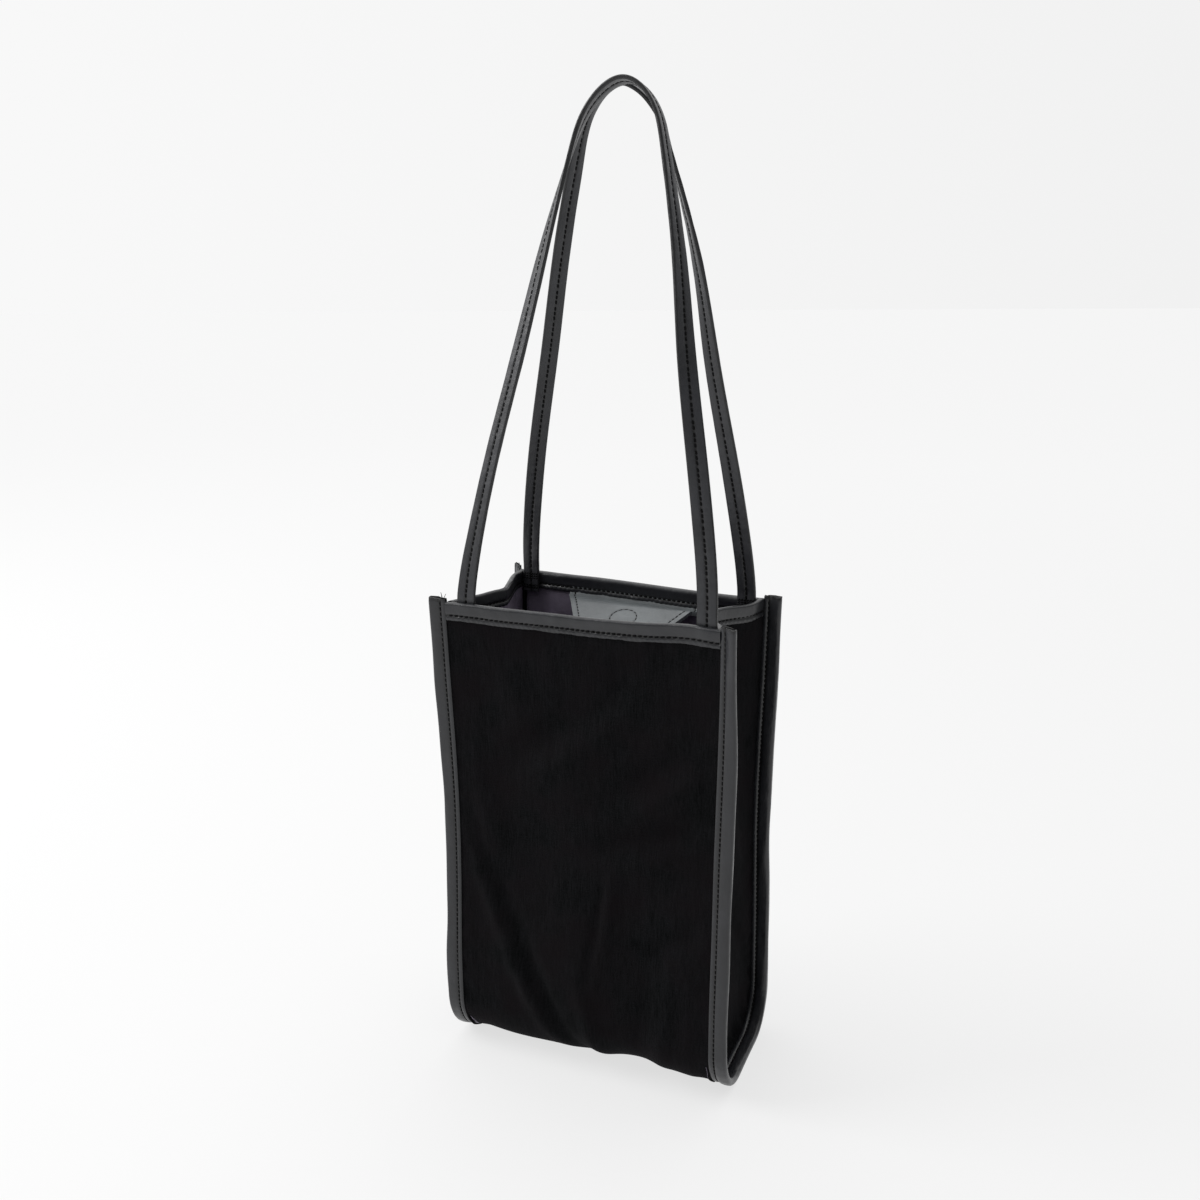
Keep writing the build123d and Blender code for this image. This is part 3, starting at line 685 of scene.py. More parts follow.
# ---- Lining ----
def body_lining():
    """Follows the canvas inside, with slack of its own towards the middle of the bag."""
    edge = WEB_AT - 3.5
    u = np.linspace(-edge, edge, 90)[None, :]
    s = np.linspace(PANEL_START, AROUND - PANEL_START, 330)[:, None]
    y, z, out_y, out_z = at_profile(s, INNER_AT + 0.3)
    relief = body_relief(u, s) * base_slack(s)
    held = eased((edge - np.abs(u)) / 18) * eased((np.minimum(s, AROUND - s) - 12) / 30)
    held = held * off_catch(u, s)
    slack = (1.3 + ripples(u, s, SEED + 3, 18, 22, 80, 3.0)) * held
    relief = np.minimum(relief, relief * 0.8) - np.maximum(slack, 0) * 0.9 - 0.1
    points = np.stack(np.broadcast_arrays(u, y + relief * out_y, z + relief * out_z), -1)
    uv = np.stack(np.broadcast_arrays(u, s), -1)
    piece = sheet_mesh("lining_body", points, uv, LINING_CLOTH, LINING)
    settle(piece, "bag", "lining", "body_lining")
    return piece


def gusset_lining(side, fold, seed, name, node):
    """The gusset's own surface, a little smaller all round and moved into the bag."""
    x, y, z, _ = gusset_grid(INNER_AT + 1.2, fold, seed, PANEL_TOP)
    x = x - CANVAS / 2 - 0.45
    points = np.stack([side * x, y, z], -1)
    piece = sheet_mesh(name, points, np.stack([y, z], -1), LINING_CLOTH, LINING)
    settle(piece, "bag", "lining", node)
    return piece


# ---- Bindings ----
def hairpin(reach, full, slot_at, slot_to, crown):
    """Outline of leather folded over an edge: a runs from the free edge to the fold, and b is depth.

    It goes out along the first face, round the fold, back along the second face and in round the slot.
    The faces swell by crown between the stitches and the fold, and pinch in at the stitches.
    """
    bend = full / 2
    flat = reach - bend
    a = np.concatenate([[0.0, 0.12], np.linspace(0.45, STITCH_INSET - 0.9, 3)])
    a = np.concatenate([a, np.linspace(STITCH_INSET - 0.6, STITCH_INSET + 0.6, 5)])
    a = np.concatenate([a, np.linspace(STITCH_INSET + 1.0, flat, 8)])
    swell = crown * np.sin(np.clip((a - STITCH_INSET) / (flat - STITCH_INSET), 0, 1) * math.pi * 0.62)
    pinch = 0.5 * np.exp(-(((a - STITCH_INSET) / 0.75) ** 2))
    lip = 0.3 * np.exp(-((a / 0.35) ** 2)) - 0.12 * np.exp(-(((a - 1.5) / 0.8) ** 2))
    b = pinch + lip - swell
    turn = np.linspace(-math.pi / 2, math.pi / 2, 13)[1:-1]
    lift = swell[-1]
    fold_a = flat + bend * np.cos(turn)
    fold_b = bend + (bend + lift) * np.sin(turn)
    slot = [(0.0, slot_to), (reach - LEATHER, slot_to), (reach - LEATHER, slot_at), (0.0, slot_at)]
    loop_a = np.concatenate([a, fold_a, a[::-1], [p[0] for p in slot]])
    loop_b = np.concatenate([b, fold_b, full - b[::-1], [p[1] for p in slot]])
    near = np.exp(-(((loop_a - STITCH_INSET) / 0.75) ** 2))
    face = np.where(loop_b < full / 2, -1.0, 1.0)
    near[-4:] = 0
    return loop_a, loop_b, near * face


def seam_shade(a, near):
    """Leather is darkest at its inked cut edge, and along its stitches, where it is pressed down and painted shade
    stands for the shadow in the groove.
    """
    return (1.1 * np.abs(near) + 0.4 * np.exp(-((a / 0.3) ** 2)))[None, :]


def edge_binding(side):
    """A strip folded over the seam and carried round the bag's profile, drawn down at each stitch."""
    a, b, near = hairpin(FLANGE, BINDING_THICK, LEATHER, BINDING_THICK - LEATHER, 0.55)
    s = np.linspace(0, AROUND, 1100)[:, None]
    slack = 0.2 * ripples(s, 0 * s, SEED + 20 + side, 14, 14, 90)
    stitch = 0.5 + 0.5 * np.cos(2 * math.pi * (s - 3.0) / STITCH_PITCH)
    skin = np.where(b < BINDING_THICK / 2, -1.0, 1.0)
    skin[-4:] = 0
    mid = np.exp(-(((a - 6.5) / 3.0) ** 2)) * skin
    deep = b[None, :] + near[None, :] * 0.14 * (stitch - 0.4) + mid[None, :] * slack
    top = eased(1 - np.minimum(s, AROUND - s) / 2.2)
    deep = deep - 0.3 * top * skin[None, :]
    on_base = eased((34 - np.abs(s - AROUND / 2)) / 8)
    deep = deep * (1 - on_base) + np.maximum(deep, 0.0) * on_base
    wave = 0.25 * ripples(s, 0 * s, SEED + 40 + side, 10, 25, 110)
    reach = FLANGE_IN + a[None, :] + wave * a[None, :] / FLANGE
    reach = np.minimum(reach, HALF)
    near_end = eased(1 - np.minimum(s, AROUND - s) / 4)
    ragged = 0.5 * ripples(a, b * 2.5, SEED + 50 + side, 8, 2.0, 9)[None, :] * near_end
    y, z, out_y, out_z = at_profile(s)
    points = np.stack([side * reach, y - deep * out_y, z - deep * out_z + ragged], -1)
    name = "right" if side > 0 else "left"
    # Painted shade along the stitches, with ink at the cut edge and at the cut ends by the mouth.
    shade = np.maximum(seam_shade(a, near), 0.8 * top)
    piece = tube_mesh("edge_binding_strip_" + name, points, BINDING_SKIN, 50, shade)
    return settle(piece, "bag", "binding_leather", "edge_binding_" + name)


def edge_stitches(side):
    """Stitches on both faces of an edge binding."""
    s = np.arange(3.0, AROUND - 2, STITCH_PITCH)
    places, ways, normals = [], [], []
    for depth, out in ((0.36, 1.0), (BINDING_THICK - 0.36, -1.0)):
        y, z, out_y, out_z = at_profile(s, depth)
        x = np.full_like(s, side * (FLANGE_IN + STITCH_INSET))
        places.append(np.stack([x, y, z], -1))
        ways.append(np.stack([0 * s, -out_z, out_y], -1))
        normals.append(np.stack([0 * s, out * out_y, out * out_z], -1))
    name = "right" if side > 0 else "left"
    piece = stitch_mesh("edge_stitches_" + name, *(np.concatenate(p) for p in (places, ways, normals)), THREAD)
    return settle(piece, "bag", "thread", "edge_stitching_" + name)


def long_rim(side, full, name):
    """Leather folded over the front or back edge of the mouth, frilled a little along its free edge."""
    a, b, near = hairpin(RIM, full, LEATHER, full - LEATHER, 0.6)
    edge = FLANGE_IN - 0.15
    x = np.linspace(-edge, edge, 460)[:, None]
    stitch = 0.5 + 0.5 * np.cos(2 * math.pi * x / STITCH_PITCH)
    uneven = 0.7 * ripples(x, 0 * x, SEED + 60 + side, 10, 5, 20)
    face = np.where(b < full / 2, -1.0, 1.0)[None, :]
    frill = np.exp(-(((a - 0.6) / 1.2) ** 2))[None, :] * 0.26 * (0.5 - stitch + uneven)
    middle = np.exp(-(((a - 6.5) / 3) ** 2))[None, :]
    bulge = 0.16 * ripples(x, 0 * x, SEED + 70 + side, 12, 10, 60) * middle
    deep = b[None, :] + near[None, :] * 0.14 * (stitch - 0.4) + (frill + bulge) * face
    rolled = rolled_share(side, x)
    deep = deep - face * rolled * 0.55 * np.exp(-(((a - 5.2) / 2.0) ** 2))[None, :]
    height = RIM_BOTTOM + a[None, :] + 0.22 * uneven * np.exp(-((a / 1.5) ** 2))[None, :]
    y = MOUTH + WALL_FLARE * (height - RIM_TOP) - deep
    points = np.stack(np.broadcast_arrays(x, side * y, height), -1)
    # Painted shade along the stitches, with ink at the cut edge.
    piece = tube_mesh("rim_binding_strip_" + name, points, BINDING_SKIN, 50, seam_shade(a, near))
    return settle(piece, "bag", "binding_leather", "rim_binding_" + name)


def rolled_share(side, x):
    """Where the front rim rolls out over its stitches: along the middle, up to a kink near its right end."""
    if side > 0:
        return 0.6 + 0 * x
    return eased((x + 28) / 22) * eased((44 - x) / 10)


def long_rim_stitches(side, full, name):
    """A straight row of stitches on both faces of a long rim binding."""
    edge = FLANGE_IN - 2.0
    x = np.arange(-edge + 1, edge, STITCH_PITCH)
    height = np.full_like(x, RIM_BOTTOM + STITCH_INSET)
    places, ways, normals = [], [], []
    for depth, out in ((0.34, 1.0), (full - 0.34, -1.0)):
        y = side * (MOUTH + WALL_FLARE * (height - RIM_TOP) - depth)
        line = np.stack([x, y, height], -1)
        places.append(line)
        ways.append(np.gradient(line, axis=0))
        normals.append(np.broadcast_to([0.0, side * out, 0.0], line.shape))
    piece = stitch_mesh("rim_stitches_" + name, *(np.concatenate(p) for p in (places, ways, normals)), THREAD)
    return settle(piece, "bag", "thread", "rim_stitching_" + name)


def side_rim_line(fold, seed, count):
    """The gusset's line at the mouth, seen from above, on the right: places, ways and outward ways."""
    reach = wall_y(RIM_TOP, BACK_RIM_THICK) + 0.6
    y = np.linspace(-reach, reach, count)
    x = web_x(y, np.full_like(y, RIM_TOP - 5.0), fold, seed) + 1.15
    line = np.stack([x, y], -1)
    way = unit(np.gradient(line, axis=0))
    out = np.stack([way[:, 1], -way[:, 0]], -1)
    return line, way, out


def side_rim(side, fold, seed, name):
    """Leather folded over a gusset's edge of the mouth, drawn in with it."""
    full = SIDE_RIM_THICK
    a, b, near = hairpin(RIM, full, LEATHER, full - LEATHER, 0.35)
    line, _, out = side_rim_line(fold, seed, 300)
    along = np.arange(300) * np.linalg.norm(line[1] - line[0])
    stitch = 0.5 + 0.5 * np.cos(2 * math.pi * along / STITCH_PITCH)[:, None]
    face = np.where(b < full / 2, -1.0, 1.0)[None, :]
    frill = np.exp(-((a / 1.6) ** 2))[None, :] * 0.25 * (0.5 - stitch)
    deep = b[None, :] + near[None, :] * 0.14 * (stitch - 0.4) + frill * face
    sag = -0.8 * eased(1 - np.abs(line[:, 1]) / 40)[:, None]
    height = RIM_BOTTOM + a[None, :] + sag + 0.25 * ripples(along, 0 * along, seed + 9, 8, 15, 60)[:, None]
    height = np.minimum(height, RIM_TOP + 0.4)
    x = line[:, :1] - deep * out[:, :1]
    y = line[:, 1:] - deep * out[:, 1:]
    points = np.stack([side * x, y, height], -1)
    # Painted shade along the stitches, with ink at the cut edge.
    piece = tube_mesh("rim_binding_strip_" + name, points, BINDING_SKIN, 50, seam_shade(a, near))
    return settle(piece, "bag", "binding_leather", "rim_binding_" + name)


def side_rim_stitches(side, fold, seed, name):
    """A row of stitches on both faces of a side rim binding, following the gusset's line."""
    line, way, out = side_rim_line(fold, seed, 34)
    line, way, out = line[1:-1], way[1:-1], out[1:-1]
    sag = -0.8 * eased(1 - np.abs(line[:, 1]) / 40)
    height = RIM_BOTTOM + STITCH_INSET + sag
    places, ways, normals = [], [], []
    for depth, facing in ((0.34, 1.0), (SIDE_RIM_THICK - 0.34, -1.0)):
        place = line - depth * out
        places.append(np.stack([side * place[:, 0], place[:, 1], height], -1))
        ways.append(np.stack([side * way[:, 0], way[:, 1], 0 * height], -1))
        normals.append(np.stack([side * facing * out[:, 0], facing * out[:, 1], 0 * height], -1))
    piece = stitch_mesh("rim_stitches_" + name, *(np.concatenate(p) for p in (places, ways, normals)), THREAD)
    return settle(piece, "bag", "thread", "rim_stitching_" + name)


# ---- Handles ----
def curve_through(points, start, end, count):
    """A smooth curve through points: cubic stretches whose slopes and bends agree where they meet."""
    points = np.array(points, float)
    gap = np.linalg.norm(np.diff(points, axis=0), axis=1)
    size = len(points)
    system = np.eye(size)
    wanted = np.zeros_like(points)
    wanted[0], wanted[-1] = start, end
    for i in range(1, size - 1):
        system[i, i - 1 : i + 2] = gap[i], 2 * (gap[i - 1] + gap[i]), gap[i - 1]
        rise = points[i + 1] - points[i]
        before = points[i] - points[i - 1]
        wanted[i] = 3 * (rise * gap[i - 1] / gap[i] + before * gap[i] / gap[i - 1])
    slope = np.linalg.solve(system, wanted)
    knots = np.concatenate([[0], np.cumsum(gap)])
    at = np.linspace(0, knots[-1], count)
    k = np.clip(np.searchsorted(knots, at, "right") - 1, 0, size - 2)
    h = gap[k][:, None]
    t = ((at - knots[k]) / gap[k])[:, None]
    return (
        (2 * t**3 - 3 * t**2 + 1) * points[k]
        + (t**3 - 2 * t**2 + t) * h * slope[k]
        + (3 * t**2 - 2 * t**3) * points[k + 1]
        + (t**3 - t**2) * h * slope[k + 1]
    )


def handle_line(side):
    """The middle of a strap, foot to foot, with the height of each point above the feet and its faces.

    The loop is a flat curve in a plane that leans to the bag's middle. The feet run down inside the rim.
    """
    key = "front" if side < 0 else "back"
    foot_depth = (RIM_THICK if side < 0 else BACK_RIM_THICK) + 0.05 + STRAP_THICK / 2
    root_z = FOOT_HIGH[2]
    root = np.array([0, side * wall_y(root_z, foot_depth), root_z])
    top_y = side * (STRAP_WIDTH + HANDLE_GAP) / 2
    lean = (top_y - root[1]) / HANDLE_RISE
    up = np.array([0, lean, math.sqrt(1 - lean**2)])
    right = [(x * STRAP_FOOT, y * HANDLE_RISE) for x, y in LOOP_SHAPE]
    left = [(-x, y) for x, y in right[::-1]]
    loop_line = curve_through(right + [(0, HANDLE_RISE)] + left, (-0.03, 1), (-0.03, -1), 1200)
    flat = even(loop_line, STRAP_STEP)
    share = np.maximum(flat[:, 1], 0) / HANDLE_RISE
    drift = DRIFT[key] * share**DRIFT_POWER
    if side < 0:
        drift = drift + 1.4 * (1 - eased((share - 0.6) / 0.35))
    else:
        drift = drift + np.where(flat[:, 0] > 0, 2.6, 0.0) * np.exp(-(((share - 0.66) / 0.2) ** 2))
    loop = root + flat[:, 1:] * up + np.stack([flat[:, 0] + drift, 0 * drift, 0 * drift], -1)
    tail = root_z - FOOT_LOW[2]
    down = np.arange(STRAP_STEP, tail, STRAP_STEP)[:, None]
    wall = unit(np.array([0, side * WALL_FLARE, 1.0]))
    first = loop[0] - down[::-1] * wall
    last = loop[-1] - down * wall
    line = np.concatenate([first, loop, last])
    height = np.concatenate([-down[::-1, 0], flat[:, 1], -down[:, 0]])
    face = np.array([0, side * up[2], -side * up[1]])
    return soften(line, 4), height, face


def soften(line, rounds):
    """The line with each point moved towards the mean of its neighbours, but for the ends."""
    for _ in range(rounds):
        line = np.concatenate([line[:1], (line[:-2] + 2 * line[1:-1] + line[2:]) / 4, line[-1:]])
    return line


def strap_turn(key, line, height):
    """How far each leg of a handle has turned about its length, in radians; each leg turns its own way."""
    turn = np.zeros(len(line))
    right_leg = np.arange(len(line)) < len(line) // 2
    for leg, here in ((1, right_leg), (-1, ~right_leg)):
        at, degrees = np.array(TURN[key, leg], float).T
        turn[here] = np.radians(np.interp(height[here] * at[-1] / HANDLE_RISE, at, degrees))
    return soften(turn[:, None], 120)[:, 0]


def handle_frames(side):
    """Place, width direction and face direction along a strap, which makes a quarter turn on each leg."""
    key = "front" if side < 0 else "back"
    line, height, face = handle_line(side)
    along = unit(np.gradient(line, axis=0))
    outward = unit(np.cross(along, face) * -side)
    turn = strap_turn(key, line, height)[:, None]
    normal = unit(face * np.cos(turn) + outward * np.sin(turn))
    across = unit(np.cross(normal, along))
    normal = np.cross(along, across)
    return line, along, across, normal, height


def strap_section():
    """A strap's outline: flat faces with painted round edges, pinched down the middle by its stitches."""
    half, thick, edge = STRAP_WIDTH / 2, STRAP_THICK / 2, 0.55
    outer = np.linspace(1.2, half - edge, 7)
    a = np.concatenate([-outer[::-1], np.linspace(-0.8, 0.8, 5), outer])
    swell = 0.10 * np.cos(np.clip((np.abs(a) - 2.9) / 2.6, -1, 1) * math.pi / 2)
    b = thick - 0.1 + swell - 0.34 * np.exp(-((a / 0.7) ** 2))
    turn = np.linspace(math.pi / 2, -math.pi / 2, 7)[1:-1]
    edge_a = half - edge + edge * np.cos(turn)
    edge_b = (thick - 0.1) * np.sin(turn)
    return np.concatenate([a, edge_a, a[::-1], -edge_a]), np.concatenate([b, edge_b, -b[::-1], -edge_b])


def handle(side):
    """A strap carried along its line; it bends over the rim where it leaves its sewn ends."""
    key = "front" if side < 0 else "back"
    line, _, across, normal, _ = handle_frames(side)
    a, b = strap_section()
    rest = np.arange(len(line)) * STRAP_STEP
    wave = 0.05 * ripples(rest, 0 * rest, SEED + 90 + side, 12, 12, 60)
    stitch = 0.06 * np.cos(2 * math.pi * rest / STITCH_PITCH)
    drawn = np.sign(b)[None, :] * np.exp(-((a / 1.2) ** 2))[None, :] * stitch[:, None]
    b = b[None, :] * (1 + wave[:, None]) + drawn
    points = line[:, None] + a[None, :, None] * across[:, None] + b[..., None] * normal[:, None]
    # Ink on the painted edges, and painted shade down the stitched groove in the middle, where the leather is pressed
    # down.
    shade = 0.75 * eased((np.abs(a) - STRAP_WIDTH / 2 + 0.75) / 0.3) + 0.7 * np.exp(-((a / 0.75) ** 2))
    piece = tube_mesh("handle_strap_" + key, points, STRAP_SKIN, 50, shade[None, :])
    feet = [f"handle_foot_{key}_{leg}" for leg in ("left", "right")]
    return bend_over_rim(piece, key, "strap_leather", "handle_" + key, *feet)


def bend_over_rim(piece, key, slot, *nodes):
    """Hides the CAD nodes that the piece stands for, and bakes its place into its mesh."""
    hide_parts(*nodes)
    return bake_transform(piece)


def handle_stitches(side):
    """A row of stitches down the middle of both faces of a strap."""
    key = "front" if side < 0 else "back"
    line, along, _, normal, _ = handle_frames(side)
    pick = np.arange(4, len(line) - 4, STITCH_PITCH / STRAP_STEP).astype(int)
    reach = STRAP_THICK / 2 - 0.16
    places = np.concatenate([line[pick] + normal[pick] * reach, line[pick] - normal[pick] * reach])
    ways = np.concatenate([along[pick], along[pick]])
    normals = np.concatenate([normal[pick], -normal[pick]])
    piece = stitch_mesh("handle_stitches_" + key, places, ways, normals, THREAD)
    return bend_over_rim(piece, key, "thread", "handle_stitching_" + key)


def foot_stitches():
    """Bars of close stitches across each sewn end."""
    places = []
    for side, full in ((-1, RIM_THICK), (1, BACK_RIM_THICK)):
        shift = 1.4 if side < 0 else 0
        for x in (shift - STRAP_FOOT, shift + STRAP_FOOT):
            for z in (RIM_BOTTOM + 0.6, RIM_BOTTOM + 2.0, RIM_TOP - 4.0, RIM_TOP - 2.6, RIM_TOP - 1.2):
                for step in np.arange(-4.0, 4.1, 1.6):
                    places.append((x + step, side * wall_y(z, full + STRAP_THICK), z, side))
    places = np.array(places)
    ways = np.broadcast_to([1.0, 0, 0.12], (len(places), 3))
    normals = np.stack([0 * places[:, 3], -places[:, 3], 0 * places[:, 3]], -1)
    piece = stitch_mesh("handle_foot_stitches", places[:, :3], ways, normals, THREAD, 1.6, 1.0, 0.8, 24)
    return settle(piece, "bag", "thread", "handle_foot_stitching")


# ---- Closure tab ----
# Half widths at its root, shoulder and tip, and places along it from its root.
TAB_ROOT, TAB_SHOULDER, TAB_SHOULDER_AT = 42.0, 31.0, 22.0
TAB_TIP, TAB_LENGTH, TAB_TIP_RADIUS = 23.0, 44.0, 16.0
TAB_THICK, TAB_SLOPE = 2.45, math.radians(24)
TAB_STITCH = 3.5
MAGNET_AT, MAGNET_RING = 19.0, 8.0
MAGNET_RADIUS, MAGNET_THICK = 6.0, 1.5
HINGE_Y, HINGE_Z = [value / MM for value in frame["joints"][2]["pos_m"][1:]]


def tab_half_width(l):
    """Half the tab's width, l from its root: straight sides that meet softly, and a round-cornered tip."""
    near = TAB_ROOT + (TAB_SHOULDER - TAB_ROOT) * l / TAB_SHOULDER_AT
    far = TAB_SHOULDER + (TAB_TIP - TAB_SHOULDER) * (l - TAB_SHOULDER_AT) / (TAB_LENGTH - TAB_SHOULDER_AT)
    width = np.where(l < TAB_SHOULDER_AT, near, far)
    into = np.clip((l - (TAB_LENGTH - TAB_TIP_RADIUS)) / TAB_TIP_RADIUS, 0, 1)
    return width - TAB_TIP_RADIUS * (1 - np.sqrt(1 - into**2)) * 0.92


def tab_line(l):
    """The tab from the side: it comes down out of the seam, turns and slopes into the bag."""
    back = wall_y(HINGE_Z, RIM_THICK)
    down = np.array([[back + 1.3, HINGE_Z + 9], [back + 0.9, HINGE_Z + 3.0]])
    t = np.linspace(0, 1, 20)[:, None]
    a, b = down[1], np.array([HINGE_Y - 4 * math.cos(TAB_SLOPE), HINGE_Z - 4 * math.sin(TAB_SLOPE)])
    pull_a, pull_b = np.array([0, -3.5]), np.array([math.cos(TAB_SLOPE), math.sin(TAB_SLOPE)]) * -2.2
    turn = (1 - t) ** 3 * a + 3 * (1 - t) ** 2 * t * (a + pull_a)
    turn = turn + 3 * (1 - t) * t**2 * (b - pull_b) + t**3 * b
    run = np.linspace(4.5, TAB_LENGTH + 2, 40)[:, None]
    way = np.array([[-math.cos(TAB_SLOPE), -math.sin(TAB_SLOPE)]])
    free = np.array([[HINGE_Y, HINGE_Z]]) + run * way
    free[:, 1] += 1.2 * ((run[:, 0] - 4.5) / TAB_LENGTH) ** 2
    line = np.concatenate([down[:1], turn, free])
    along = np.concatenate([[0], np.cumsum(np.linalg.norm(np.diff(line, axis=0), axis=1))])
    start = along[11]
    return [np.interp(l + start, along, line[:, k]) for k in (0, 1)]


def tab_seam(x, l):
    """1 along the tab's two rows of stitches and 0 elsewhere."""
    inside = tab_half_width(np.maximum(l, 0)) - np.abs(x)
    row = np.minimum(inside * 0.96, TAB_LENGTH - l)
    ring = np.hypot(x, l - MAGNET_AT) - MAGNET_RING
    return np.maximum(np.exp(-(((row - TAB_STITCH) / 0.6) ** 2)), np.exp(-((ring / 0.6) ** 2)))


def tab_point(x, l, lift):
    """A place in the tab, lift above its middle surface. Past its seam the tab is free of the rim's sag."""
    y, z = tab_line(l)
    y2, z2 = tab_line(l + 0.5)
    y1, z1 = tab_line(l - 0.5)
    way = unit(np.stack([y2 - y1, z2 - z1], -1))
    out_y, out_z = way[..., 1], -way[..., 0]
    bump = 0.45 * np.exp(-((np.hypot(x, l - MAGNET_AT) / MAGNET_RADIUS) ** 4))
    rise = lift + bump - 0.35 * tab_seam(x, l)
    place = np.stack(np.broadcast_arrays(x, y + rise * out_y, z + rise * out_z), -1)
    freed = np.broadcast_to(eased(l / 9), place.shape[:-1])[..., None]
    place = place - (give(place) - place) * freed
    return place, np.stack(np.broadcast_arrays(0 * x, out_y, out_z), -1)


def tab_rows(start, straight, round_tip):
    """Places along the tab: even to where its tip starts to round, then closer and closer to its end."""
    shoulder = TAB_LENGTH - TAB_TIP_RADIUS
    tip = shoulder + TAB_TIP_RADIUS * np.sin(np.linspace(0, 1, round_tip)[1:] * math.pi / 2)
    return np.concatenate([np.linspace(start, shoulder, straight), tip])


def closure_tab():
    """Two plies of leather stitched round the edge, with a magnet's round swelling between them."""
    l = tab_rows(-9, 90, 50)[:, None]
    v = np.sin(np.linspace(-1, 1, 200) * math.pi / 2)[None, :]
    x = v * tab_half_width(np.maximum(l, 0))
    points, _ = tab_point(x, np.broadcast_to(l, x.shape), 0.0)
    l = np.broadcast_to(l, x.shape)
    # Painted shade along the stitch rows and the ring round the magnet, where the leather is pressed down.
    shade = 0.85 * tab_seam(x, l)
    piece = sheet_mesh("closure_tab_leather", points, np.stack([x, l], -1), TAB_SKIN_PAINTED_LIGHT, TAB_THICK, shade)
    edge = piece.modifiers.new("edge", "BEVEL")
    edge.width = 0.45 * MM
    edge.segments = 2
    edge.limit_method = "ANGLE"
    edge.angle_limit = math.radians(60)
    return hinge_tab(piece, "binding_leather", "closure_tab_top", "closure_tab_under", "closure_tab_root")


def tab_magnet():
    """A plated disc between the tab's two plies: a circle at each face, following the tab."""
    turn = np.linspace(0, 2 * math.pi, 48, endpoint=False)[None, :]
    lift = np.array([[-MAGNET_THICK / 2], [MAGNET_THICK / 2]])
    across, along, lift = np.broadcast_arrays(np.sin(turn), np.cos(turn), lift)
    points, _ = tab_point(MAGNET_RADIUS * across, MAGNET_AT + MAGNET_RADIUS * along, lift)
    piece = tube_mesh("closure_tab_disc_magnet", points, NICKEL)
    return settle(piece, "closure_tab", "magnet", "closure_tab_magnet")


def hinge_tab(piece, slot, *nodes):
    """Hides the CAD nodes that the piece stands for, and bakes its place into its mesh."""
    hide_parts(*nodes)
    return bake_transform(piece)


def tab_stitches():
    """The row round the tab's free edge and the ring round its magnet."""
    l = tab_rows(-2, 60, 60)
    side = np.stack([tab_half_width(np.maximum(l, 0)), l], -1)
    rim = np.concatenate([side, (side * [-1, 1])[::-1]])
    way = unit(np.gradient(rim, axis=0))
    row = rim + np.stack([-way[:, 1], way[:, 0]], -1) * TAB_STITCH
    row = row[(np.abs(row[:, 1]) < TAB_LENGTH - TAB_STITCH + 0.01)]
    row = even(row, STITCH_PITCH)
    turn = np.linspace(0, 2 * math.pi, int(2 * math.pi * MAGNET_RING / 3.2), endpoint=False)
    ring = np.stack([MAGNET_RING * np.cos(turn), MAGNET_AT + MAGNET_RING * np.sin(turn)], -1)
    places, ways, normals = [], [], []
    for path, closed in ((row, False), (ring, True)):
        for lift in (TAB_THICK / 2, -TAB_THICK / 2):
            ahead = np.roll(path, -1, 0) - np.roll(path, 1, 0) if closed else np.gradient(path, axis=0)
            place, normal = tab_point(path[:, 0], path[:, 1], lift)
            beyond, _ = tab_point(path[:, 0] + unit(ahead)[:, 0], path[:, 1] + unit(ahead)[:, 1], lift)
            places.append(place)
            ways.append(beyond - place)
            normals.append(normal * math.copysign(1, lift))
    piece = stitch_mesh("closure_tab_stitches", *(np.concatenate(p) for p in (places, ways, normals)), THREAD)
    return hinge_tab(piece, "thread", "closure_tab_stitching")


# ---- Loose thread ends ----
def thread_ends():
    """A few cut ends of thread that stand up at the front left corner of the mouth."""
    ends = [((-79.4, -46.6), (-1.2, 0.6), 3.4), ((-78.9, -46.2), (1.0, 0.9), 2.6), ((-79.8, -46.4), (0.2, -0.8), 2.0)]
    for number, ((x, y), (dx, dy), tall) in enumerate(ends, 1):
        t = np.linspace(0, 1, 10)[:, None]
        base = np.array([[x, y, BINDING_TOP - 1.5]])
        line = base + t * [[0, 0, tall + 1.5]] + t**2 * [[dx, dy, 0]]
        along = unit(np.gradient(line, axis=0))
        side = unit(np.cross(along, [0.3, 1.0, 0.1]))
        other = np.cross(along, side)
        turn = (np.arange(6) * math.pi / 3)[None, :, None]
        points = line[:, None] + 0.16 * (np.cos(turn) * side[:, None] + np.sin(turn) * other[:, None])
        settle(tube_mesh(f"thread_end_{number}", points, THREAD), "bag", "thread")


# ---- Build ----
canvas_body()
gusset(1, FOLD_RIGHT, SEED + 11, "canvas_gusset_right", "gusset_right")
gusset(-1, FOLD_LEFT, SEED + 12, "canvas_gusset_left", "gusset_left")
body_lining()
gusset_lining(1, FOLD_RIGHT, SEED + 11, "lining_gusset_right", "gusset_lining_right")
gusset_lining(-1, FOLD_LEFT, SEED + 12, "lining_gusset_left", "gusset_lining_left")
for hand in (-1, 1):
    edge_binding(hand)
    edge_stitches(hand)
    handle(hand)
    handle_stitches(hand)
long_rim(-1, RIM_THICK, "front")
long_rim(1, BACK_RIM_THICK, "back")
long_rim_stitches(-1, RIM_THICK, "front")
long_rim_stitches(1, BACK_RIM_THICK, "back")
side_rim(1, FOLD_RIGHT, SEED + 11, "right")
side_rim(-1, FOLD_LEFT, SEED + 12, "left")
side_rim_stitches(1, FOLD_RIGHT, SEED + 11, "right")
side_rim_stitches(-1, FOLD_LEFT, SEED + 12, "left")
foot_stitches()
closure_tab()
tab_magnet()
tab_stitches()
thread_ends()

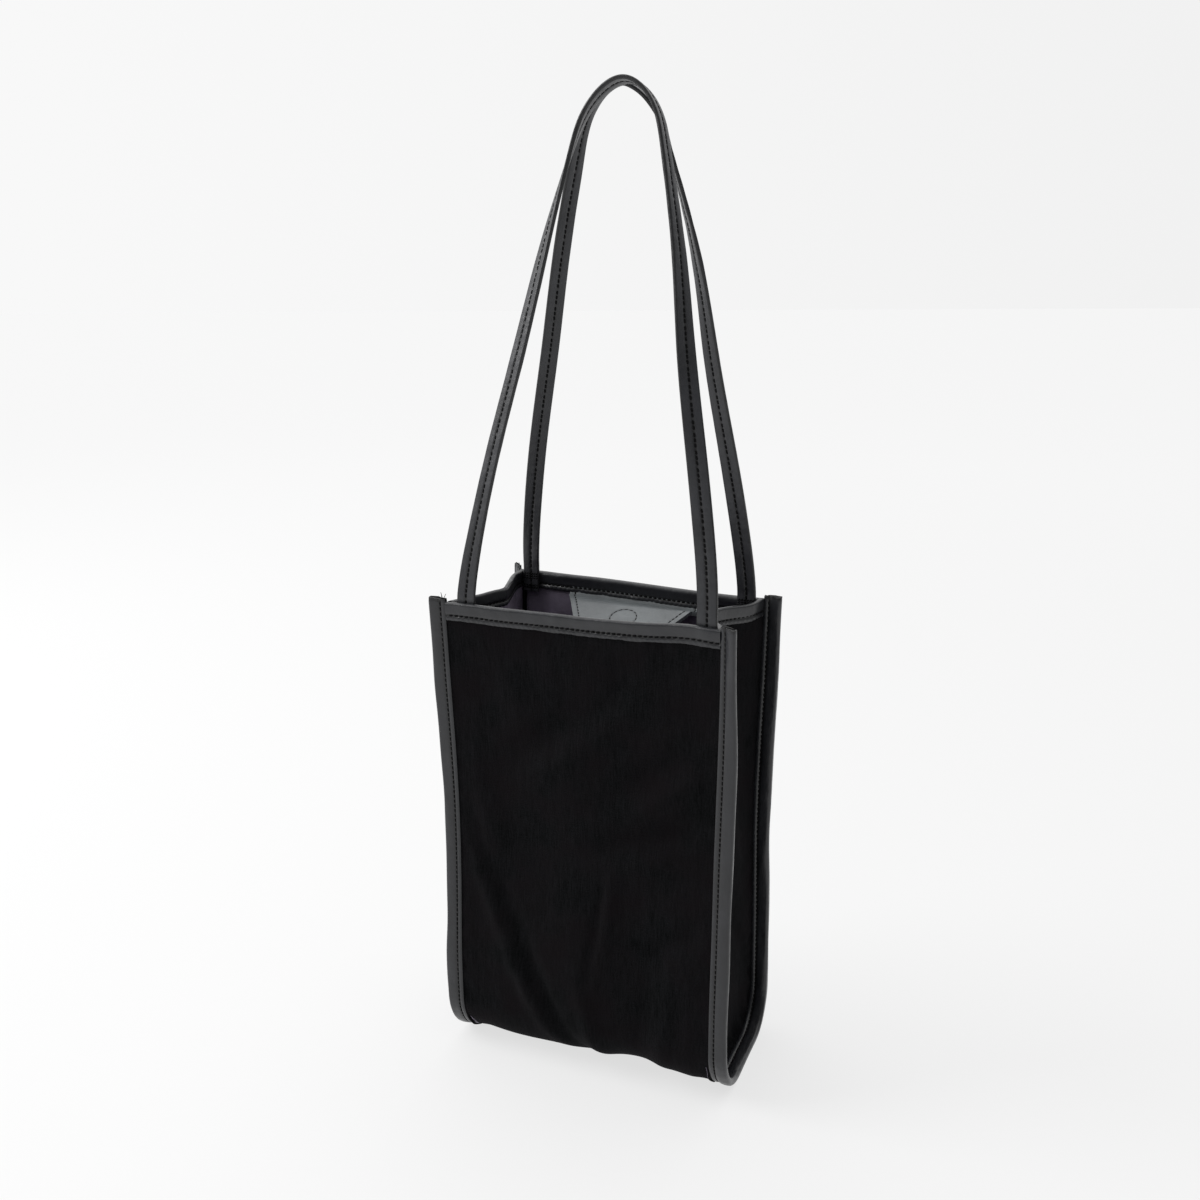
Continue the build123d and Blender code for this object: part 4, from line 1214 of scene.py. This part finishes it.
# The catch patch takes the tab's leather, coloured lighter as painted light.
for node, material in (("catch_magnet", NICKEL), ("catch_patch", TAB_SKIN_PAINTED_LIGHT)):
    frame["nodes"][node].data.materials.clear()
    frame["nodes"][node].data.materials.append(material)

# ---- Studio ----
FLOOR_SIZE = 80.0
floor_mesh = bpy.data.meshes.new("studio_table")
reach = FLOOR_SIZE / 2
floor_corners = [(-reach, -reach, 0), (reach, -reach, 0), (reach, reach, 0), (-reach, reach, 0)]
floor_mesh.from_pydata(floor_corners, [], [(0, 1, 2, 3)])
floor = bpy.data.objects.new("studio_table", floor_mesh)
bpy.context.scene.collection.objects.link(floor)
# The table's glow is painted light that keeps shadows on it faint.
floor_mesh.materials.append(studio_card("glowing_table_painted_light", "#f5f5f5", "#f1f1f1", 0.775))

# The room is white behind the table, dimmer in front of it and to its right, and brightest overhead.
world = bpy.data.worlds.new("studio_light")
bpy.context.scene.world = world
world.use_nodes = True
sky = world.node_tree
facing = add_node(sky, "TexCoord").outputs["Generated"]
level = add_node(sky, "VectorMath", {"operation": "MULTIPLY"}, i0=facing, i1=(1.0, 1.0, 0.0)).outputs["Vector"]
tone = set_ramp(add_node(sky, "ValToRGB", Fac=sideways(sky, level)), (0.0, "#f8f8f8"), (1.0, "#f1f1f1"))
parts = add_node(sky, "SeparateXYZ", Vector=facing).outputs
front = smooth_step(sky, parts["Y"], -0.6, 0.35, 0.3, 1.0)
side = smooth_step(sky, parts["X"], 0.15, 0.8, 1.0, 0.4)
above = smooth_step(sky, parts["Z"], 0.35, 0.85, 1.0, 2.1)
dim = add_node(sky, "Math", {"operation": "MULTIPLY"}, i0=front, i1=side).outputs[0]
strength = add_node(sky, "Math", {"operation": "MULTIPLY"}, i0=dim, i1=above).outputs[0]
sky.links.new(tone.outputs["Color"], sky.nodes["Background"].inputs["Color"])
sky.links.new(strength, sky.nodes["Background"].inputs["Strength"])


def softbox(name, place, target, width, watts):
    """A square soft light turned to a target; sizes in metres."""
    data = bpy.data.lights.new(name, "AREA")
    data.size = width
    data.energy = watts
    light = bpy.data.objects.new(name, data)
    bpy.context.scene.collection.objects.link(light)
    back = unit(np.array(place) - np.array(target))
    across = unit(np.cross([0, 0, 1.0], back))
    upward = np.cross(back, across)
    light.matrix_world = Matrix([[across[i], upward[i], back[i], place[i]] for i in range(3)] + [[0, 0, 0, 1]])
    return light


softbox("key_softbox", (-1.6, -0.55, 1.5), (0, 0, 0.25), 1.1, 26.0)

# ---- Camera ----
CAMERA_AT = np.array([245.7, -613.1, 444.3])
YAW, PITCH, ROLL = (math.radians(a) for a in (22.22, 14.17, -0.47))
SENSOR = 36.0
LENS_SHARE = 0.9975  # the lens's length as a share of the sensor's width
ahead = np.array([-math.sin(YAW) * math.cos(PITCH), math.cos(YAW) * math.cos(PITCH), -math.sin(PITCH)])
level_right = np.array([math.cos(YAW), math.sin(YAW), 0.0])
level_up = np.cross(level_right, ahead)
cam_right = level_right * math.cos(ROLL) + level_up * math.sin(ROLL)
cam_up = level_up * math.cos(ROLL) - level_right * math.sin(ROLL)
camera_data = bpy.data.cameras.new("camera")
camera_data.sensor_width = SENSOR
camera_data.lens = SENSOR * LENS_SHARE
camera_data.clip_start = 0.01
camera = bpy.data.objects.new("camera", camera_data)
bpy.context.scene.collection.objects.link(camera)
camera.matrix_world = Matrix([
    [cam_right[i], cam_up[i], -ahead[i], CAMERA_AT[i] * MM] for i in range(3)
] + [[0, 0, 0, 1]])
bpy.context.scene.camera = camera
bpy.context.scene.view_settings.view_transform = "Standard"
